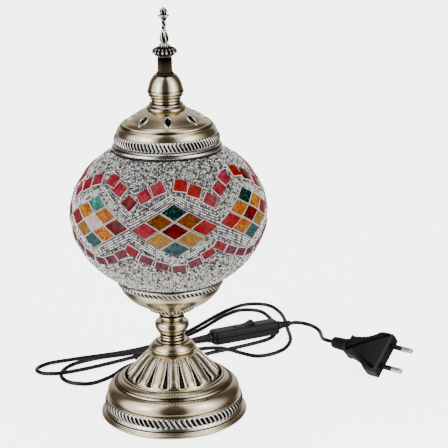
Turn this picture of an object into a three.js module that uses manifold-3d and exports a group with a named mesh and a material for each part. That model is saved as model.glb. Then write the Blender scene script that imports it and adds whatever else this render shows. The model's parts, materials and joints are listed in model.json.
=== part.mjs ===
// A table lamp: a turned metal stem on a wide round foot, a mosaic-covered glass globe in a
// gallery bowl, a pierced cap with a tall finial, and a mains lead with an inline rocker switch.
// Millimetres, +Z up. The origin is on the lamp's axis, at the surface that the foot rests on.
// The lead leaves the foot at the rear, towards +Y.

import * as THREE from "three";
import { mergeVertices } from "three/addons/utils/BufferGeometryUtils.js";
import Module from "manifold-3d";

// ---------- driving dimensions ----------

const GAP = 0.3; // between pieces that touch
const WALL = 1.2; // spun and cast metal shells

const FOOT_RADIUS = 53.5; // the rim that the lamp stands on
const RIM_TOP = 4.7;
const BAND_TOP = 14.4; // rope-edged band above the rim
const BAND_RADIUS = 50.6;
const TORUS_RADIUS = 48.7;
const GROOVE_RADIUS = 42.3; // groove between the torus and its shoulder
const GROOVE_Z = 25.4;
const DOME_FOOT_RADIUS = 33.8;
const DOME_FOOT_Z = 31.0;
const DOME_TOP_Z = 49.6;
const FLUTES = 16;
const FLUTE_DEPTH = 0.9;

const CUP_RADIUS = 17.2; // widest turning of the stem, on top of the fluted dome
const CUP_TOP_Z = 57.3;
const KNOB_RADIUS = 12.6;
const KNOB_BOTTOM_Z = 62.3;
const KNOB_TOP_Z = 72.4;
const STEM_RING_RADIUS = 9.1;

const GALLERY_RADIUS = 38.1; // bowl that holds the globe
const GALLERY_TOP_Z = 104.8;
const GALLERY_TEETH_Z = 100.2;
const GALLERY_BOTTOM_Z = 84.1;

const GLOBE_RADIUS = 70.2; // outside the mosaic
const GLOBE_HALF_HEIGHT = 57;
const GLOBE_CENTRE_Z = 153;
const MOSAIC_THICKNESS = 2.2;
const GLASS_THICKNESS = 1.8;
const GLUE_GAP = 0.7; // between the glass and the mosaic glued on it
const MOSAIC_EDGE_RADIUS = 38.9; // where the mosaic stops, top and bottom
const GLASS_MOUTH_RADIUS = 33;
const GLASS_NECK_BOTTOM_Z = 98.2; // the neck that stands in the gallery bowl

const CAP_RADIUS = 37.5;
const CAP_BOTTOM_Z = 205.3;
const CAP_ROPE_TOP_Z = 213.2;
const CAP_RIDGE_RADIUS = 31.2; // double line round the dome
const CAP_RIDGE_Z = 218.2;
const CAP_NECK_RADIUS = 10.2;
const CAP_NECK_Z = 234.8;
const VENTS = 8;
const VENT_LENGTH = 9.4;
const VENT_WIDTH = 4.2;
const VENT_RING_RADIUS = 23.5;
const VENT_TURN = 0.06; // of a vent's spacing, from straight ahead to the first vent

const FINIAL_BELL_RADIUS = 12.9;
const FINIAL_BELL_Z = 241.4;
const FINIAL_BELL_TOP_Z = 252.4;
const COLUMN_RADIUS = 5.1;
const DISC_RADIUS = 9.2;
const DISC_Z = 269.9;
const VASE_RADIUS = 3.1;
const SPIRE_SHAFT_RADIUS = 1.3;
const TOTAL_HEIGHT = 300;

const ROD_RADIUS = 4.9; // hollow threaded rod through the stem
const ROD_BORE_RADIUS = 3.4;
const STEM_BORE_RADIUS = ROD_RADIUS + 0.4;
const ROD_BOTTOM_Z = 5;
const ROD_TOP_Z = 97;

const BULB_RADIUS = 22.5;
const BULB_CENTRE_Z = 158;
const SCREW_CAP_RADIUS = 6.9;

const CORD_RADIUS = 1.6;
const CORD_EXIT_Z = 9.6;
const RELIEF_LENGTH = 20;

const SWITCH_LENGTH = 60;
const SWITCH_WIDTH = 15;
const SWITCH_HEIGHT = 11;
const SWITCH_SPLIT_Z = 5.4; // parting line between the lower and the upper shell
const SWITCH_PLACE = [59.6, 135.4, 3.9]; // middle of its underside
const SWITCH_TURN = 22.7; // degrees, its length from +X
const SWITCH_TILT = 4; // degrees, its front edge lifted by the lead under it
const ROCKER_LENGTH = 16.4;
const ROCKER_WIDTH = 8;
const ROCKER_PIVOT_Z = 8.2;
const ROCKER_TILT = 10; // degrees either side of level
const SWITCH_EXIT_RELIEF = 12; // shorter relief on the side of the plug

const PLUG_WIDTH = 35.2;
const PLUG_THICKNESS = 13.7;
const PLUG_LENGTH = 35;
const PLUG_RELIEF = 15;
const PLUG_FACE = [165.3, 52.6, 17.0]; // middle of the face with the pins
const PLUG_TURN = -42; // degrees, its pins from +X
const PLUG_LEAN = 40; // degrees between its flat side and the surface
const PIN_RADIUS = 2;
const PIN_LENGTH = 19;
const PIN_SPACING = 18.6;

// The lead's route from the foot to the switch, chosen by hand: out behind the foot, through a
// small loop and a large loop on each side, and back to the switch.
const LAMP_CORD_ROUTE = [
  [0, 73.4, 9.6], [1, 82, 8.2], [8, 95, 2.4], [26, 107, 1.8], [66, 127.5, 1.8],
  [82, 140, 1.8], [87.5, 160, 1.8], [84, 187, 1.8], [76, 205, 1.8], [61, 209, 1.8],
  [47, 198, 1.8], [18, 157, 1.8], [-24, 118.5, 1.8], [-64, 104, 1.8], [-82, 91, 1.8],
  [-88, 73, 1.8], [-81, 57, 1.8], [-65, 52.5, 1.8], [-50, 64, 1.8], [-35, 87, 1.8],
  [8, 112.5, 2.2], [37, 109.5, 5.8], [68, 99.5, 1.8], [87, 109, 1.8], [96.5, 129, 1.8],
  [97, 160, 1.8], [94, 199, 1.8], [84, 220, 1.8], [67, 223.5, 1.8], [50, 211, 1.8],
  [11, 157, 1.8], [-10, 134.5, 1.8], [-36, 119, 1.8], [-82, 104, 1.8], [-100, 96, 2.1],
  [-107.5, 82, 3.2], [-101, 69, 4.8], [-86, 66.5, 5.8], [-36, 101, 2.4],
];

// The short stretch from the switch to the plug.
const PLUG_CORD_ROUTE = [
  [103.4, 153.6, 9.3], [109.4, 154.6, 8.2], [115.8, 152.8, 6.8], [120.4, 148.4, 5.6],
  [122.6, 142, 4.9], [122.7, 134, 5.2], [122.2, 118, 8.6], [121.9, 104, 12.8], [123.4, 93.6, 15.8],
];

const TIE_PLACE = 0.935; // how far along the lamp's lead the tie is, as a share of its length

// ---------- helpers ----------

const wasm = await Module();
wasm.setup();

const lamp = new THREE.Group();
const SMALL = 12; // segments round a small turned piece
const MEDIUM = 16;
const LARGE = 24;

const brass = { color: 0xa8997c, roughness: 0.34, metalness: 1.0 };
const silvered = { color: 0xb9b6ad, roughness: 0.42, metalness: 0.9 };
const steel = { color: 0xb4b6b8, roughness: 0.4, metalness: 1.0 };
const castIron = { color: 0x3c3c3e, roughness: 0.8, metalness: 0.5 };
const clearGlass = { color: 0xe8eef0, roughness: 0.08, metalness: 0.0 };
const mosaicGlass = { color: 0xb9b4b0, roughness: 0.25, metalness: 0.2 };
const blackPlastic = { color: 0x17181a, roughness: 0.5, metalness: 0.0 };
const blackRubber = { color: 0x121214, roughness: 0.7, metalness: 0.0 };
const whiteCeramic = { color: 0xe9e5da, roughness: 0.4, metalness: 0.0 };
const greenFelt = { color: 0x27382c, roughness: 0.95, metalness: 0.0 };

function radians(degrees) {
  return (degrees * Math.PI) / 180;
}

function place(name, geometry, look, group = lamp) {
  const mesh = new THREE.Mesh(geometry, new THREE.MeshStandardMaterial(look));
  mesh.name = name;
  group.add(mesh);
  return mesh;
}

// Points along an arc of an ellipse in the profile plane, from one angle to another.
function arc(centreR, centreZ, halfWidth, halfHeight, from, to, steps) {
  const points = [];
  for (let i = 0; i <= steps; i += 1) {
    const angle = radians(from + ((to - from) * i) / steps);
    points.push([centreR + halfWidth * Math.cos(angle), centreZ + halfHeight * Math.sin(angle)]);
  }
  return points;
}

// A smooth line through hand-placed profile points.
function smooth(points, steps) {
  const curve = new THREE.SplineCurve(points.map(([r, z]) => new THREE.Vector2(r, z)));
  return curve.getPoints(steps).map((point) => [point.x, point.y]);
}

// A profile turned about the Z axis. It is a closed outline of [radius, height] points, and a
// solid piece has its first and last points on the axis.
function turned(outline, segments) {
  const open = outline[0][0] === 0 && outline[outline.length - 1][0] === 0;
  const area = outline.reduce((sum, [r, z], i) => {
    const [nextR, nextZ] = outline[(i + 1) % outline.length];
    return sum + r * nextZ - nextR * z;
  }, 0);
  const ordered = area > 0 ? outline : [...outline].reverse();
  const points = ordered.map(([r, z]) => new THREE.Vector2(r, z));
  if (!open) points.push(points[0].clone());
  return new THREE.LatheGeometry(points, segments).rotateX(Math.PI / 2);
}

// The same line moved sideways by a wall's thickness, to the left of its direction.
function offset(line, distance) {
  return line.map(([r, z], i) => {
    const [beforeR, beforeZ] = line[Math.max(i - 1, 0)];
    const [afterR, afterZ] = line[Math.min(i + 1, line.length - 1)];
    const alongR = afterR - beforeR;
    const alongZ = afterZ - beforeZ;
    const scale = distance / Math.hypot(alongR, alongZ);
    return [r - alongZ * scale, z + alongR * scale];
  });
}

// A sheet-metal or glass shell: the outside line, and the inside a wall's thickness away.
function shell(line, thickness, segments) {
  return turned([...line, ...offset(line, thickness).reverse()], segments);
}

// A turned piece with a straight bore: the outside line from bottom to top, closed by the bore.
function bored(line, boreRadius, segments) {
  const [, bottom] = line[0];
  const [, top] = line[line.length - 1];
  return turned([[boreRadius, bottom], ...line, [boreRadius, top]], segments);
}

function toSolid(geometry) {
  const plain = geometry.clone();
  plain.deleteAttribute("normal");
  plain.deleteAttribute("uv");
  const merged = mergeVertices(plain, 1e-4);
  return new wasm.Manifold(
    new wasm.Mesh({
      numProp: 3,
      vertProperties: new Float32Array(merged.attributes.position.array),
      triVerts: new Uint32Array(merged.index.array),
    }),
  );
}

function toGeometry(solid) {
  const mesh = solid.getMesh();
  const geometry = new THREE.BufferGeometry();
  geometry.setAttribute("position", new THREE.BufferAttribute(mesh.vertProperties, 3));
  geometry.setIndex(new THREE.BufferAttribute(mesh.triVerts, 1));
  return geometry;
}

function cut(geometry, cutters) {
  return toGeometry(cutters.reduce((solid, cutter) => solid.subtract(toSolid(cutter)), toSolid(geometry)));
}

function join(geometries) {
  const [first, ...others] = geometries.map(toSolid);
  return toGeometry(others.reduce((solid, other) => solid.add(other), first));
}

// A round rod along Z, from one height to another.
function rod(radius, from, to, segments = SMALL) {
  return new THREE.CylinderGeometry(radius, radius, to - from, segments)
    .rotateX(Math.PI / 2)
    .translate(0, 0, (from + to) / 2);
}

function box(lengthX, lengthY, lengthZ, x, y, z) {
  return new THREE.BoxGeometry(lengthX, lengthY, lengthZ).translate(x, y, z);
}

// ---------- foot ----------

function addFoot() {
  const feltRadius = FOOT_RADIUS - 2;
  place("felt_pad", turned([[0, 0], [feltRadius, 0], [feltRadius, 1], [0, 1]], LARGE), greenFelt);

  const rimBottom = 1 + GAP;
  const plateRadius = BAND_RADIUS - 0.4;
  const plate = [[3, rimBottom], [plateRadius, rimBottom], [plateRadius, 2.5], [3, 2.5]];
  place("base_cover_plate", turned(plate, LARGE), steel);

  const rimBore = plateRadius + GAP;
  const rim = [
    [rimBore, rimBottom], [FOOT_RADIUS - 0.4, rimBottom], [FOOT_RADIUS, 1.9], [FOOT_RADIUS, 2.7],
    [FOOT_RADIUS - 0.8, 3.4], [FOOT_RADIUS - 1.6, 3.7], [FOOT_RADIUS - 1.9, RIM_TOP], [rimBore, RIM_TOP],
  ];
  place("foot_rim", turned(rim, LARGE), brass);

  const bandBottom = RIM_TOP + GAP;
  const band = [
    [BAND_RADIUS + 0.2, bandBottom], [BAND_RADIUS + 0.2, 7.4], [BAND_RADIUS, 7.6],
    [BAND_RADIUS - 0.3, BAND_TOP - 0.8], [BAND_RADIUS - 1, BAND_TOP], [TORUS_RADIUS - 3.4, BAND_TOP],
    [TORUS_RADIUS - 3.4, BAND_TOP - WALL], [BAND_RADIUS - 1.8, BAND_TOP - WALL],
    [BAND_RADIUS - 1.4, bandBottom],
  ];
  const cordHole = new THREE.CylinderGeometry(4, 4, 12, SMALL).translate(0, BAND_RADIUS, CORD_EXIT_Z);
  place("foot_gadroon_band", cut(turned(band, LARGE), [cordHole]), silvered);
}

function addTorus() {
  const bulge = smooth([
    [TORUS_RADIUS - 1.6, BAND_TOP + GAP], [TORUS_RADIUS, 18], [TORUS_RADIUS - 2, 22.2],
    [GROOVE_RADIUS + 0.8, GROOVE_Z + 0.3],
  ], 4);
  const shoulder = [
    [GROOVE_RADIUS, GROOVE_Z], [GROOVE_RADIUS - 0.7, GROOVE_Z + 1.6], [GROOVE_RADIUS - 3.4, GROOVE_Z + 3.3],
    [DOME_FOOT_RADIUS + 1.1, DOME_FOOT_Z - 0.9],
  ];
  place("base_torus", shell([...bulge, ...shoulder], WALL, LARGE), brass);
}

// A dome with raised lobes all round: a shell of revolution whose outside swells between flutes.
function addFlutedDome() {
  const line = smooth([
    [DOME_FOOT_RADIUS, DOME_FOOT_Z - 0.4], [29.2, 35.6], [22.6, 43.2], [17.3, 48.1],
    [13.5, DOME_TOP_Z - 0.2],
  ], 3);
  line.push([STEM_BORE_RADIUS, DOME_TOP_Z]);
  const segments = FLUTES * 4;
  const geometry = shell(line, WALL + FLUTE_DEPTH, segments);
  const position = geometry.attributes.position;
  for (let i = 0; i < position.count; i += 1) {
    const x = position.getX(i);
    const y = position.getY(i);
    const z = position.getZ(i);
    const radius = Math.hypot(x, y);
    const lobe = Math.abs(Math.sin((FLUTES / 2) * Math.atan2(x, -y)));
    const along = THREE.MathUtils.clamp((radius - 15) / 3, 0, 1);
    const inward = 1 - (FLUTE_DEPTH * along * lobe ** 4) / Math.max(radius, 1);
    position.setXYZ(i, x * inward, y * inward, z);
  }
  place("fluted_dome", geometry, brass);
}

function addBaseInside() {
  const weight = [
    [STEM_BORE_RADIUS, 14.2], [39, 14.2], [39, 23.6], [32, 28.4], [STEM_BORE_RADIUS, 28.4],
  ];
  place("base_weight", turned(weight, MEDIUM), castIron);
  const washer = [[STEM_BORE_RADIUS, 12.5], [11, 12.5], [11, 13.9], [STEM_BORE_RADIUS, 13.9]];
  place("base_washer", turned(washer, SMALL), steel);
  place("base_nut", cut(rod(9.8, 6.6, 12.2, 6), [rod(STEM_BORE_RADIUS, 5, 14)]), steel);
}

// ---------- stem and gallery ----------

function addStem() {
  const tube = [
    [ROD_BORE_RADIUS, ROD_BOTTOM_Z], [ROD_RADIUS, ROD_BOTTOM_Z],
    [ROD_RADIUS, ROD_TOP_Z], [ROD_BORE_RADIUS, ROD_TOP_Z],
  ];
  place("threaded_rod", turned(tube, SMALL), steel);

  const cup = smooth([
    [CUP_RADIUS - 0.6, DOME_TOP_Z + GAP], [CUP_RADIUS, 50.9], [15.7, 53.6], [12.6, 56],
    [STEM_RING_RADIUS + 0.2, CUP_TOP_Z],
  ], 5);
  place("lower_cup", bored([[14, DOME_TOP_Z + GAP], ...cup], STEM_BORE_RADIUS, MEDIUM), brass);

  const ringBottom = CUP_TOP_Z + GAP;
  const lowerRing = [
    [8, ringBottom], ...arc(8, ringBottom + 1.3, 1.1, 1, -80, 80, 3), [7.9, ringBottom + 2.5],
    ...arc(8, ringBottom + 3.4, 1.2, 0.8, -80, 80, 3), [8, KNOB_BOTTOM_Z - GAP],
  ];
  place("lower_neck_ring", bored(lowerRing, STEM_BORE_RADIUS, SMALL), brass);

  const knob = smooth(
    [[8.6, KNOB_BOTTOM_Z], [10.3, 63.6], [12, 66.8], [KNOB_RADIUS, 69.7], [11.7, 71.6], [9, KNOB_TOP_Z]],
    6,
  );
  place("stem_knob", bored(knob, STEM_BORE_RADIUS, SMALL), brass);

  const spoolBottom = KNOB_TOP_Z + GAP;
  const spool = [
    [7.6, spoolBottom], [7.5, spoolBottom + 1], [STEM_RING_RADIUS - 0.3, spoolBottom + 1.6],
    [STEM_RING_RADIUS + 0.1, spoolBottom + 2.3], [STEM_RING_RADIUS - 0.4, spoolBottom + 3.2],
    [8.2, spoolBottom + 3.6],
  ];
  place("upper_neck_ring", bored(spool, STEM_BORE_RADIUS, SMALL), brass);

  const upperCup = smooth([[8.8, 76.6], [10.4, 78], [11.5, 79.7]], 4);
  place("upper_cup", bored(upperCup, STEM_BORE_RADIUS, SMALL), brass);

  const leafBottom = 80;
  const leaf = [
    [12.6, leafBottom], [15.6, leafBottom + 0.7], [17.2, leafBottom + 1.8], [17.6, leafBottom + 3],
    [16.4, GALLERY_BOTTOM_Z - GAP],
  ];
  place("gallery_leaf_ring", bored(leaf, STEM_BORE_RADIUS, MEDIUM), silvered);
}

function addGallery() {
  const bowl = [
    [STEM_BORE_RADIUS, GALLERY_BOTTOM_Z], [16.5, GALLERY_BOTTOM_Z],
    ...smooth([
      [18.2, GALLERY_BOTTOM_Z + 0.2], [24, 86.7], [29.4, 90.3], [33.4, 94.2], [35.7, 97.4],
      [36.6, GALLERY_TEETH_Z - 0.7],
    ], 4),
  ];
  place("gallery_bowl", shell(bowl, WALL, LARGE), brass);

  const rope = [
    [GALLERY_RADIUS - 2.4, GALLERY_TEETH_Z], [GALLERY_RADIUS - 0.9, GALLERY_TEETH_Z],
    [GALLERY_RADIUS - 0.2, 102], [GALLERY_RADIUS, 104],
    [GALLERY_RADIUS - 0.4, GALLERY_TOP_Z], [GALLERY_RADIUS - 2.4, GALLERY_TOP_Z - 0.2],
  ];
  place("gallery_rope_rim", turned(rope, LARGE), silvered);

  const floor = GALLERY_BOTTOM_Z + WALL + GAP;
  const washer = [[STEM_BORE_RADIUS, floor], [12, floor], [12, floor + 1.4], [STEM_BORE_RADIUS, floor + 1.4]];
  place("gallery_washer", turned(washer, SMALL), steel);
  const nutBottom = floor + 1.4 + GAP;
  const nutBore = rod(STEM_BORE_RADIUS, nutBottom - 1, nutBottom + 5);
  place("gallery_nut", cut(rod(9.2, nutBottom, nutBottom + 4, 6), [nutBore]), steel);
}

// ---------- lampholder and bulb ----------

const HOLDER_BOTTOM_Z = 92;
const HOLDER_SPLIT_Z = 103;
const HOLDER_TOP_Z = 131;
const HOLDER_RADIUS = 13.6;
const SLEEVE_OUTER_RADIUS = 8.4;

function addLampholder() {
  const capLine = [
    [STEM_BORE_RADIUS, HOLDER_BOTTOM_Z], [8.4, HOLDER_BOTTOM_Z], [9, 95.6],
    [HOLDER_RADIUS - 0.8, 98.4], [HOLDER_RADIUS, 100], [HOLDER_RADIUS, HOLDER_SPLIT_Z],
  ];
  place("lampholder_cap", shell(capLine, 1.6, SMALL), blackPlastic);

  const bodyLine = [
    [HOLDER_RADIUS, HOLDER_SPLIT_Z + GAP], [HOLDER_RADIUS, HOLDER_TOP_Z - 2],
    [HOLDER_RADIUS - 0.6, HOLDER_TOP_Z], [SLEEVE_OUTER_RADIUS + 1.4, HOLDER_TOP_Z],
  ];
  place("lampholder_body", shell(bodyLine, 1.4, SMALL), blackPlastic);

  const insulator = [[0, 103.6], [11.8, 103.6], [11.8, 107], [8.6, 107], [8.6, 108.6], [0, 108.6]];
  place("lampholder_insulator", turned(insulator, SMALL), whiteCeramic);
  const sleeve = [
    [SLEEVE_OUTER_RADIUS, 109], [SLEEVE_OUTER_RADIUS, 129.2],
    [SLEEVE_OUTER_RADIUS - 0.7, 129.2], [SLEEVE_OUTER_RADIUS - 0.7, 109],
  ];
  place("lampholder_thread_sleeve", turned(sleeve, SMALL), brass);
  const contact = box(9, 3.4, 0.5, 0, 0, 109.2);
  place("lampholder_contact", contact, brass);
}

function addBulb() {
  const contact = [[0, 109.8], [2, 109.8], [2.4, 110.4], [2.4, 111], [0, 111]];
  place("bulb_contact", turned(contact, 12), silvered);

  const skirt = [
    [0, 111.3], [3.6, 111.3], [5.6, 112.6], [SCREW_CAP_RADIUS, 113.4], [SCREW_CAP_RADIUS, 131.4],
    [SCREW_CAP_RADIUS - 0.5, 131.4], [SCREW_CAP_RADIUS - 0.5, 114], [0, 114],
  ];
  place("bulb_screw_cap", turned(skirt, SMALL), silvered);

  const envelope = [
    [SCREW_CAP_RADIUS - 0.9, 125], [SCREW_CAP_RADIUS - 0.9, 131.8], [8.6, 135.2], [13, 139.6],
    ...arc(0, BULB_CENTRE_Z, BULB_RADIUS, BULB_RADIUS, -48, 78, 6),
  ];
  const inside = offset(envelope, 0.8).reverse();
  const poleZ = BULB_CENTRE_Z + BULB_RADIUS;
  const outline = [...envelope, [0, poleZ], [0, poleZ - 0.8], ...inside];
  place("bulb_glass", turnedThroughAxis(outline), clearGlass);

  const stem = [[0, 114.4], [4.6, 114.4], [4.6, 121], [1.6, 129], [1.6, 149], [2.4, 151], [0, 152]];
  place("bulb_stem", turned(stem, 12), clearGlass);
}

// A turned shell closed at the top: its outside and inside both meet the axis there.
function turnedThroughAxis(outline) {
  const poles = outline.map(([r], i) => (r === 0 ? i : -1)).filter((i) => i >= 0);
  const start = poles[poles.length - 1];
  return turned([...outline.slice(start), ...outline.slice(0, start)], SMALL);
}

// ---------- globe ----------

function globeAngle(radius, halfWidth) {
  return (Math.acos(radius / halfWidth) * 180) / Math.PI;
}

function addGlobe() {
  const outerAngle = globeAngle(MOSAIC_EDGE_RADIUS, GLOBE_RADIUS);
  const skin = arc(0, GLOBE_CENTRE_Z, GLOBE_RADIUS, GLOBE_HALF_HEIGHT, -outerAngle, outerAngle, 9);
  place("globe_mosaic", shell(skin, MOSAIC_THICKNESS, LARGE), mosaicGlass);

  const glassRadius = GLOBE_RADIUS - MOSAIC_THICKNESS - GLUE_GAP;
  const glassHalfHeight = GLOBE_HALF_HEIGHT - MOSAIC_THICKNESS - GLUE_GAP;
  const mouthAngle = globeAngle(GLASS_MOUTH_RADIUS, glassRadius);
  const glass = [
    [GLASS_MOUTH_RADIUS, GLASS_NECK_BOTTOM_Z],
    ...arc(0, GLOBE_CENTRE_Z, glassRadius, glassHalfHeight, -mouthAngle, mouthAngle, 9),
  ];
  place("globe_glass", shell(glass, GLASS_THICKNESS, LARGE), clearGlass);

  const collar = [
    [36.2, 199.6], [37.3, 199], [37.5, 200.6], [38.9, 201.2], [39, 202.2], [38.4, 204.2],
    [37.2, 204.9], [36.6, 204.8],
  ];
  place("globe_top_collar", turned(collar, LARGE), silvered);
}

// ---------- cap and finial ----------

// One pierced leaf-shaped opening, as a cutter that points outwards and upwards.
function ventCutter(turn) {
  const outline = new THREE.Shape();
  outline.moveTo(0, -VENT_LENGTH / 2);
  outline.quadraticCurveTo(VENT_WIDTH, 0, 0, VENT_LENGTH / 2);
  outline.quadraticCurveTo(-VENT_WIDTH, 0, 0, -VENT_LENGTH / 2);
  const cutter = new THREE.ExtrudeGeometry(outline, { depth: 12, bevelEnabled: false, curveSegments: 3 });
  cutter.translate(0, 0, -6);
  cutter.rotateX(radians(28));
  cutter.translate(0, -VENT_RING_RADIUS, 223.5);
  return cutter.rotateZ(turn);
}

function addCap() {
  const dome = [
    [CAP_RADIUS - 1.9, CAP_ROPE_TOP_Z], [CAP_RADIUS - 3.4, 215.6],
    [CAP_RIDGE_RADIUS + 0.9, CAP_RIDGE_Z - 0.5], [CAP_RIDGE_RADIUS + 0.3, CAP_RIDGE_Z + 0.5],
    ...smooth([[CAP_RIDGE_RADIUS - 0.8, CAP_RIDGE_Z + 0.6], [26.3, 221.9], [20, 226], [14.2, 228.3]], 3),
    [13, 228.9],
  ];
  const vents = [];
  for (let i = 0; i < VENTS; i += 1) {
    vents.push(ventCutter(((i + VENT_TURN) * 2 * Math.PI) / VENTS));
  }
  place("cap_dome", cut(shell(dome, WALL, LARGE), vents), brass);

  const ropeTop = CAP_ROPE_TOP_Z - 0.9;
  const rope = [
    [CAP_RADIUS - 0.7, CAP_BOTTOM_Z], [CAP_RADIUS, 207.2], [CAP_RADIUS, 208.4],
    [CAP_RADIUS - 1.2, ropeTop - 0.6], [CAP_RADIUS - 2, ropeTop], [CAP_RADIUS - 3.4, ropeTop],
    [CAP_RADIUS - 2.2, CAP_BOTTOM_Z + 1.4],
    [CAP_RADIUS - 2.4, CAP_BOTTOM_Z + GAP], [CAP_RADIUS - 2, CAP_BOTTOM_Z],
  ];
  place("cap_rope_rim", turned(rope, LARGE), silvered);

  const skirtTop = CAP_BOTTOM_Z + 4.2;
  const skirt = [
    [29.6, CAP_BOTTOM_Z - 7], [30.8, CAP_BOTTOM_Z - 7], [30.8, skirtTop - 1.2],
    [33.6, skirtTop - 1.2], [33.6, skirtTop], [29.6, skirtTop],
  ];
  place("cap_locating_skirt", turned(skirt, LARGE), brass);

  const neck = [
    [14, 229.3], [13.6, 230.4], [12.2, 231.4], [11.9, 232.2], [10.6, 232.8],
    [CAP_NECK_RADIUS + 0.1, 233.6], [CAP_NECK_RADIUS, CAP_NECK_Z],
    [CAP_NECK_RADIUS + 0.5, 235.6], [CAP_NECK_RADIUS + 0.2, 236.6], [9.6, 237.4],
  ];
  place("cap_neck", bored(neck, 3.4, SMALL), brass);
}

function addFinial() {
  const studRadius = 2;
  const bore = studRadius + 0.4;
  place("finial_stud", rod(studRadius, 224, 262, 12), steel);
  place("finial_nut", cut(rod(5, 224.6, 228.2, 6), [rod(bore, 223, 230, 12)]), steel);

  const bell = smooth([
    [10.6, 237.7], [12.1, 239.2], [FINIAL_BELL_RADIUS, FINIAL_BELL_Z], [12.1, 245], [10.3, 249.4],
    [8.5, FINIAL_BELL_TOP_Z],
  ], 6);
  place("finial_bell", bored(bell, bore, SMALL), brass);

  const columnFoot = FINIAL_BELL_TOP_Z + GAP;
  const column = [
    [bore, columnFoot], [6.6, columnFoot], [6.4, columnFoot + 0.9], [COLUMN_RADIUS, columnFoot + 3.4],
    [COLUMN_RADIUS, 264.9], [bore, 264.9],
  ];
  place("finial_column", turned(column, 6).rotateZ(radians(30)), brass);

  const disc = smooth([[4.9, 265.2], [7, 267], [DISC_RADIUS, DISC_Z], [6.4, 272.2], [3.4, 274.4]], 5);
  place("finial_disc", turned([[0, 265.2], ...disc, [0, 274.8]], SMALL), silvered);

  const vase = smooth([
    [1.7, 275.2], [VASE_RADIUS, 277], [VASE_RADIUS, 279.6], [2.2, 282.4], [1.5, 283.6],
  ], 5);
  place("finial_vase", turned([[0, 275.1], ...vase, [0, 283.8]], 10), brass);

  const spire = [
    [0, 284.1], [1.5, 284.1], [SPIRE_SHAFT_RADIUS, 287], [1.5, 290.4], [2.2, 292], [3.2, 293.2], [3.9, 294.2],
    [3.7, 294.8], [1.9, 295.2], [2.4, 296.7], [1.9, 298.2], [0.5, 299.6], [0, TOTAL_HEIGHT],
  ];
  place("finial_spire", turned(spire, 10), brass);
}

// ---------- lead ----------

// A strain relief along +X from a housing's wall: a collar, then a taper to the tip.
function reliefGeometry(length, rootRadius, tipRadius) {
  const line = [[rootRadius, 0], [rootRadius, 2.5], [rootRadius - 0.5, 2.8], [tipRadius, length]];
  return bored(line, CORD_RADIUS + 0.3, 10).rotateY(Math.PI / 2);
}

function cordPath(points) {
  const places = points.map(([x, y, z]) => new THREE.Vector3(x, y, z));
  return new THREE.CatmullRomCurve3(places, false, "centripetal");
}

function cordGeometry(path, steps) {
  const section = new THREE.Shape();
  section.absarc(0, 0, CORD_RADIUS, 0, 2 * Math.PI);
  return new THREE.ExtrudeGeometry(section, { steps, curveSegments: 4, extrudePath: path });
}

function addBaseRelief() {
  const relief = place("base_strain_relief", reliefGeometry(RELIEF_LENGTH, 3.6, 2.3), blackRubber);
  relief.rotation.z = Math.PI / 2;
  relief.position.set(0, 53, CORD_EXIT_Z);
}

// ---------- inline switch ----------

// A long body with round corners seen from above, between two heights.
function slab(length, width, corner, from, to) {
  const halfX = length / 2 - corner;
  const halfY = width / 2 - corner;
  const outline = new THREE.Shape();
  outline.absarc(halfX, halfY, corner, 0, Math.PI / 2);
  outline.absarc(-halfX, halfY, corner, Math.PI / 2, Math.PI);
  outline.absarc(-halfX, -halfY, corner, Math.PI, (3 * Math.PI) / 2);
  outline.absarc(halfX, -halfY, corner, (3 * Math.PI) / 2, 2 * Math.PI);
  const options = { depth: to - from, bevelEnabled: false, curveSegments: 2 };
  return new THREE.ExtrudeGeometry(outline, options).translate(0, 0, from);
}

function switchGroup() {
  const turn = new THREE.Group();
  turn.position.set(...SWITCH_PLACE);
  turn.rotation.z = radians(SWITCH_TURN);
  const tilt = new THREE.Group();
  tilt.rotation.x = -radians(SWITCH_TILT);
  turn.add(tilt);
  lamp.add(turn);
  return tilt;
}

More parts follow.
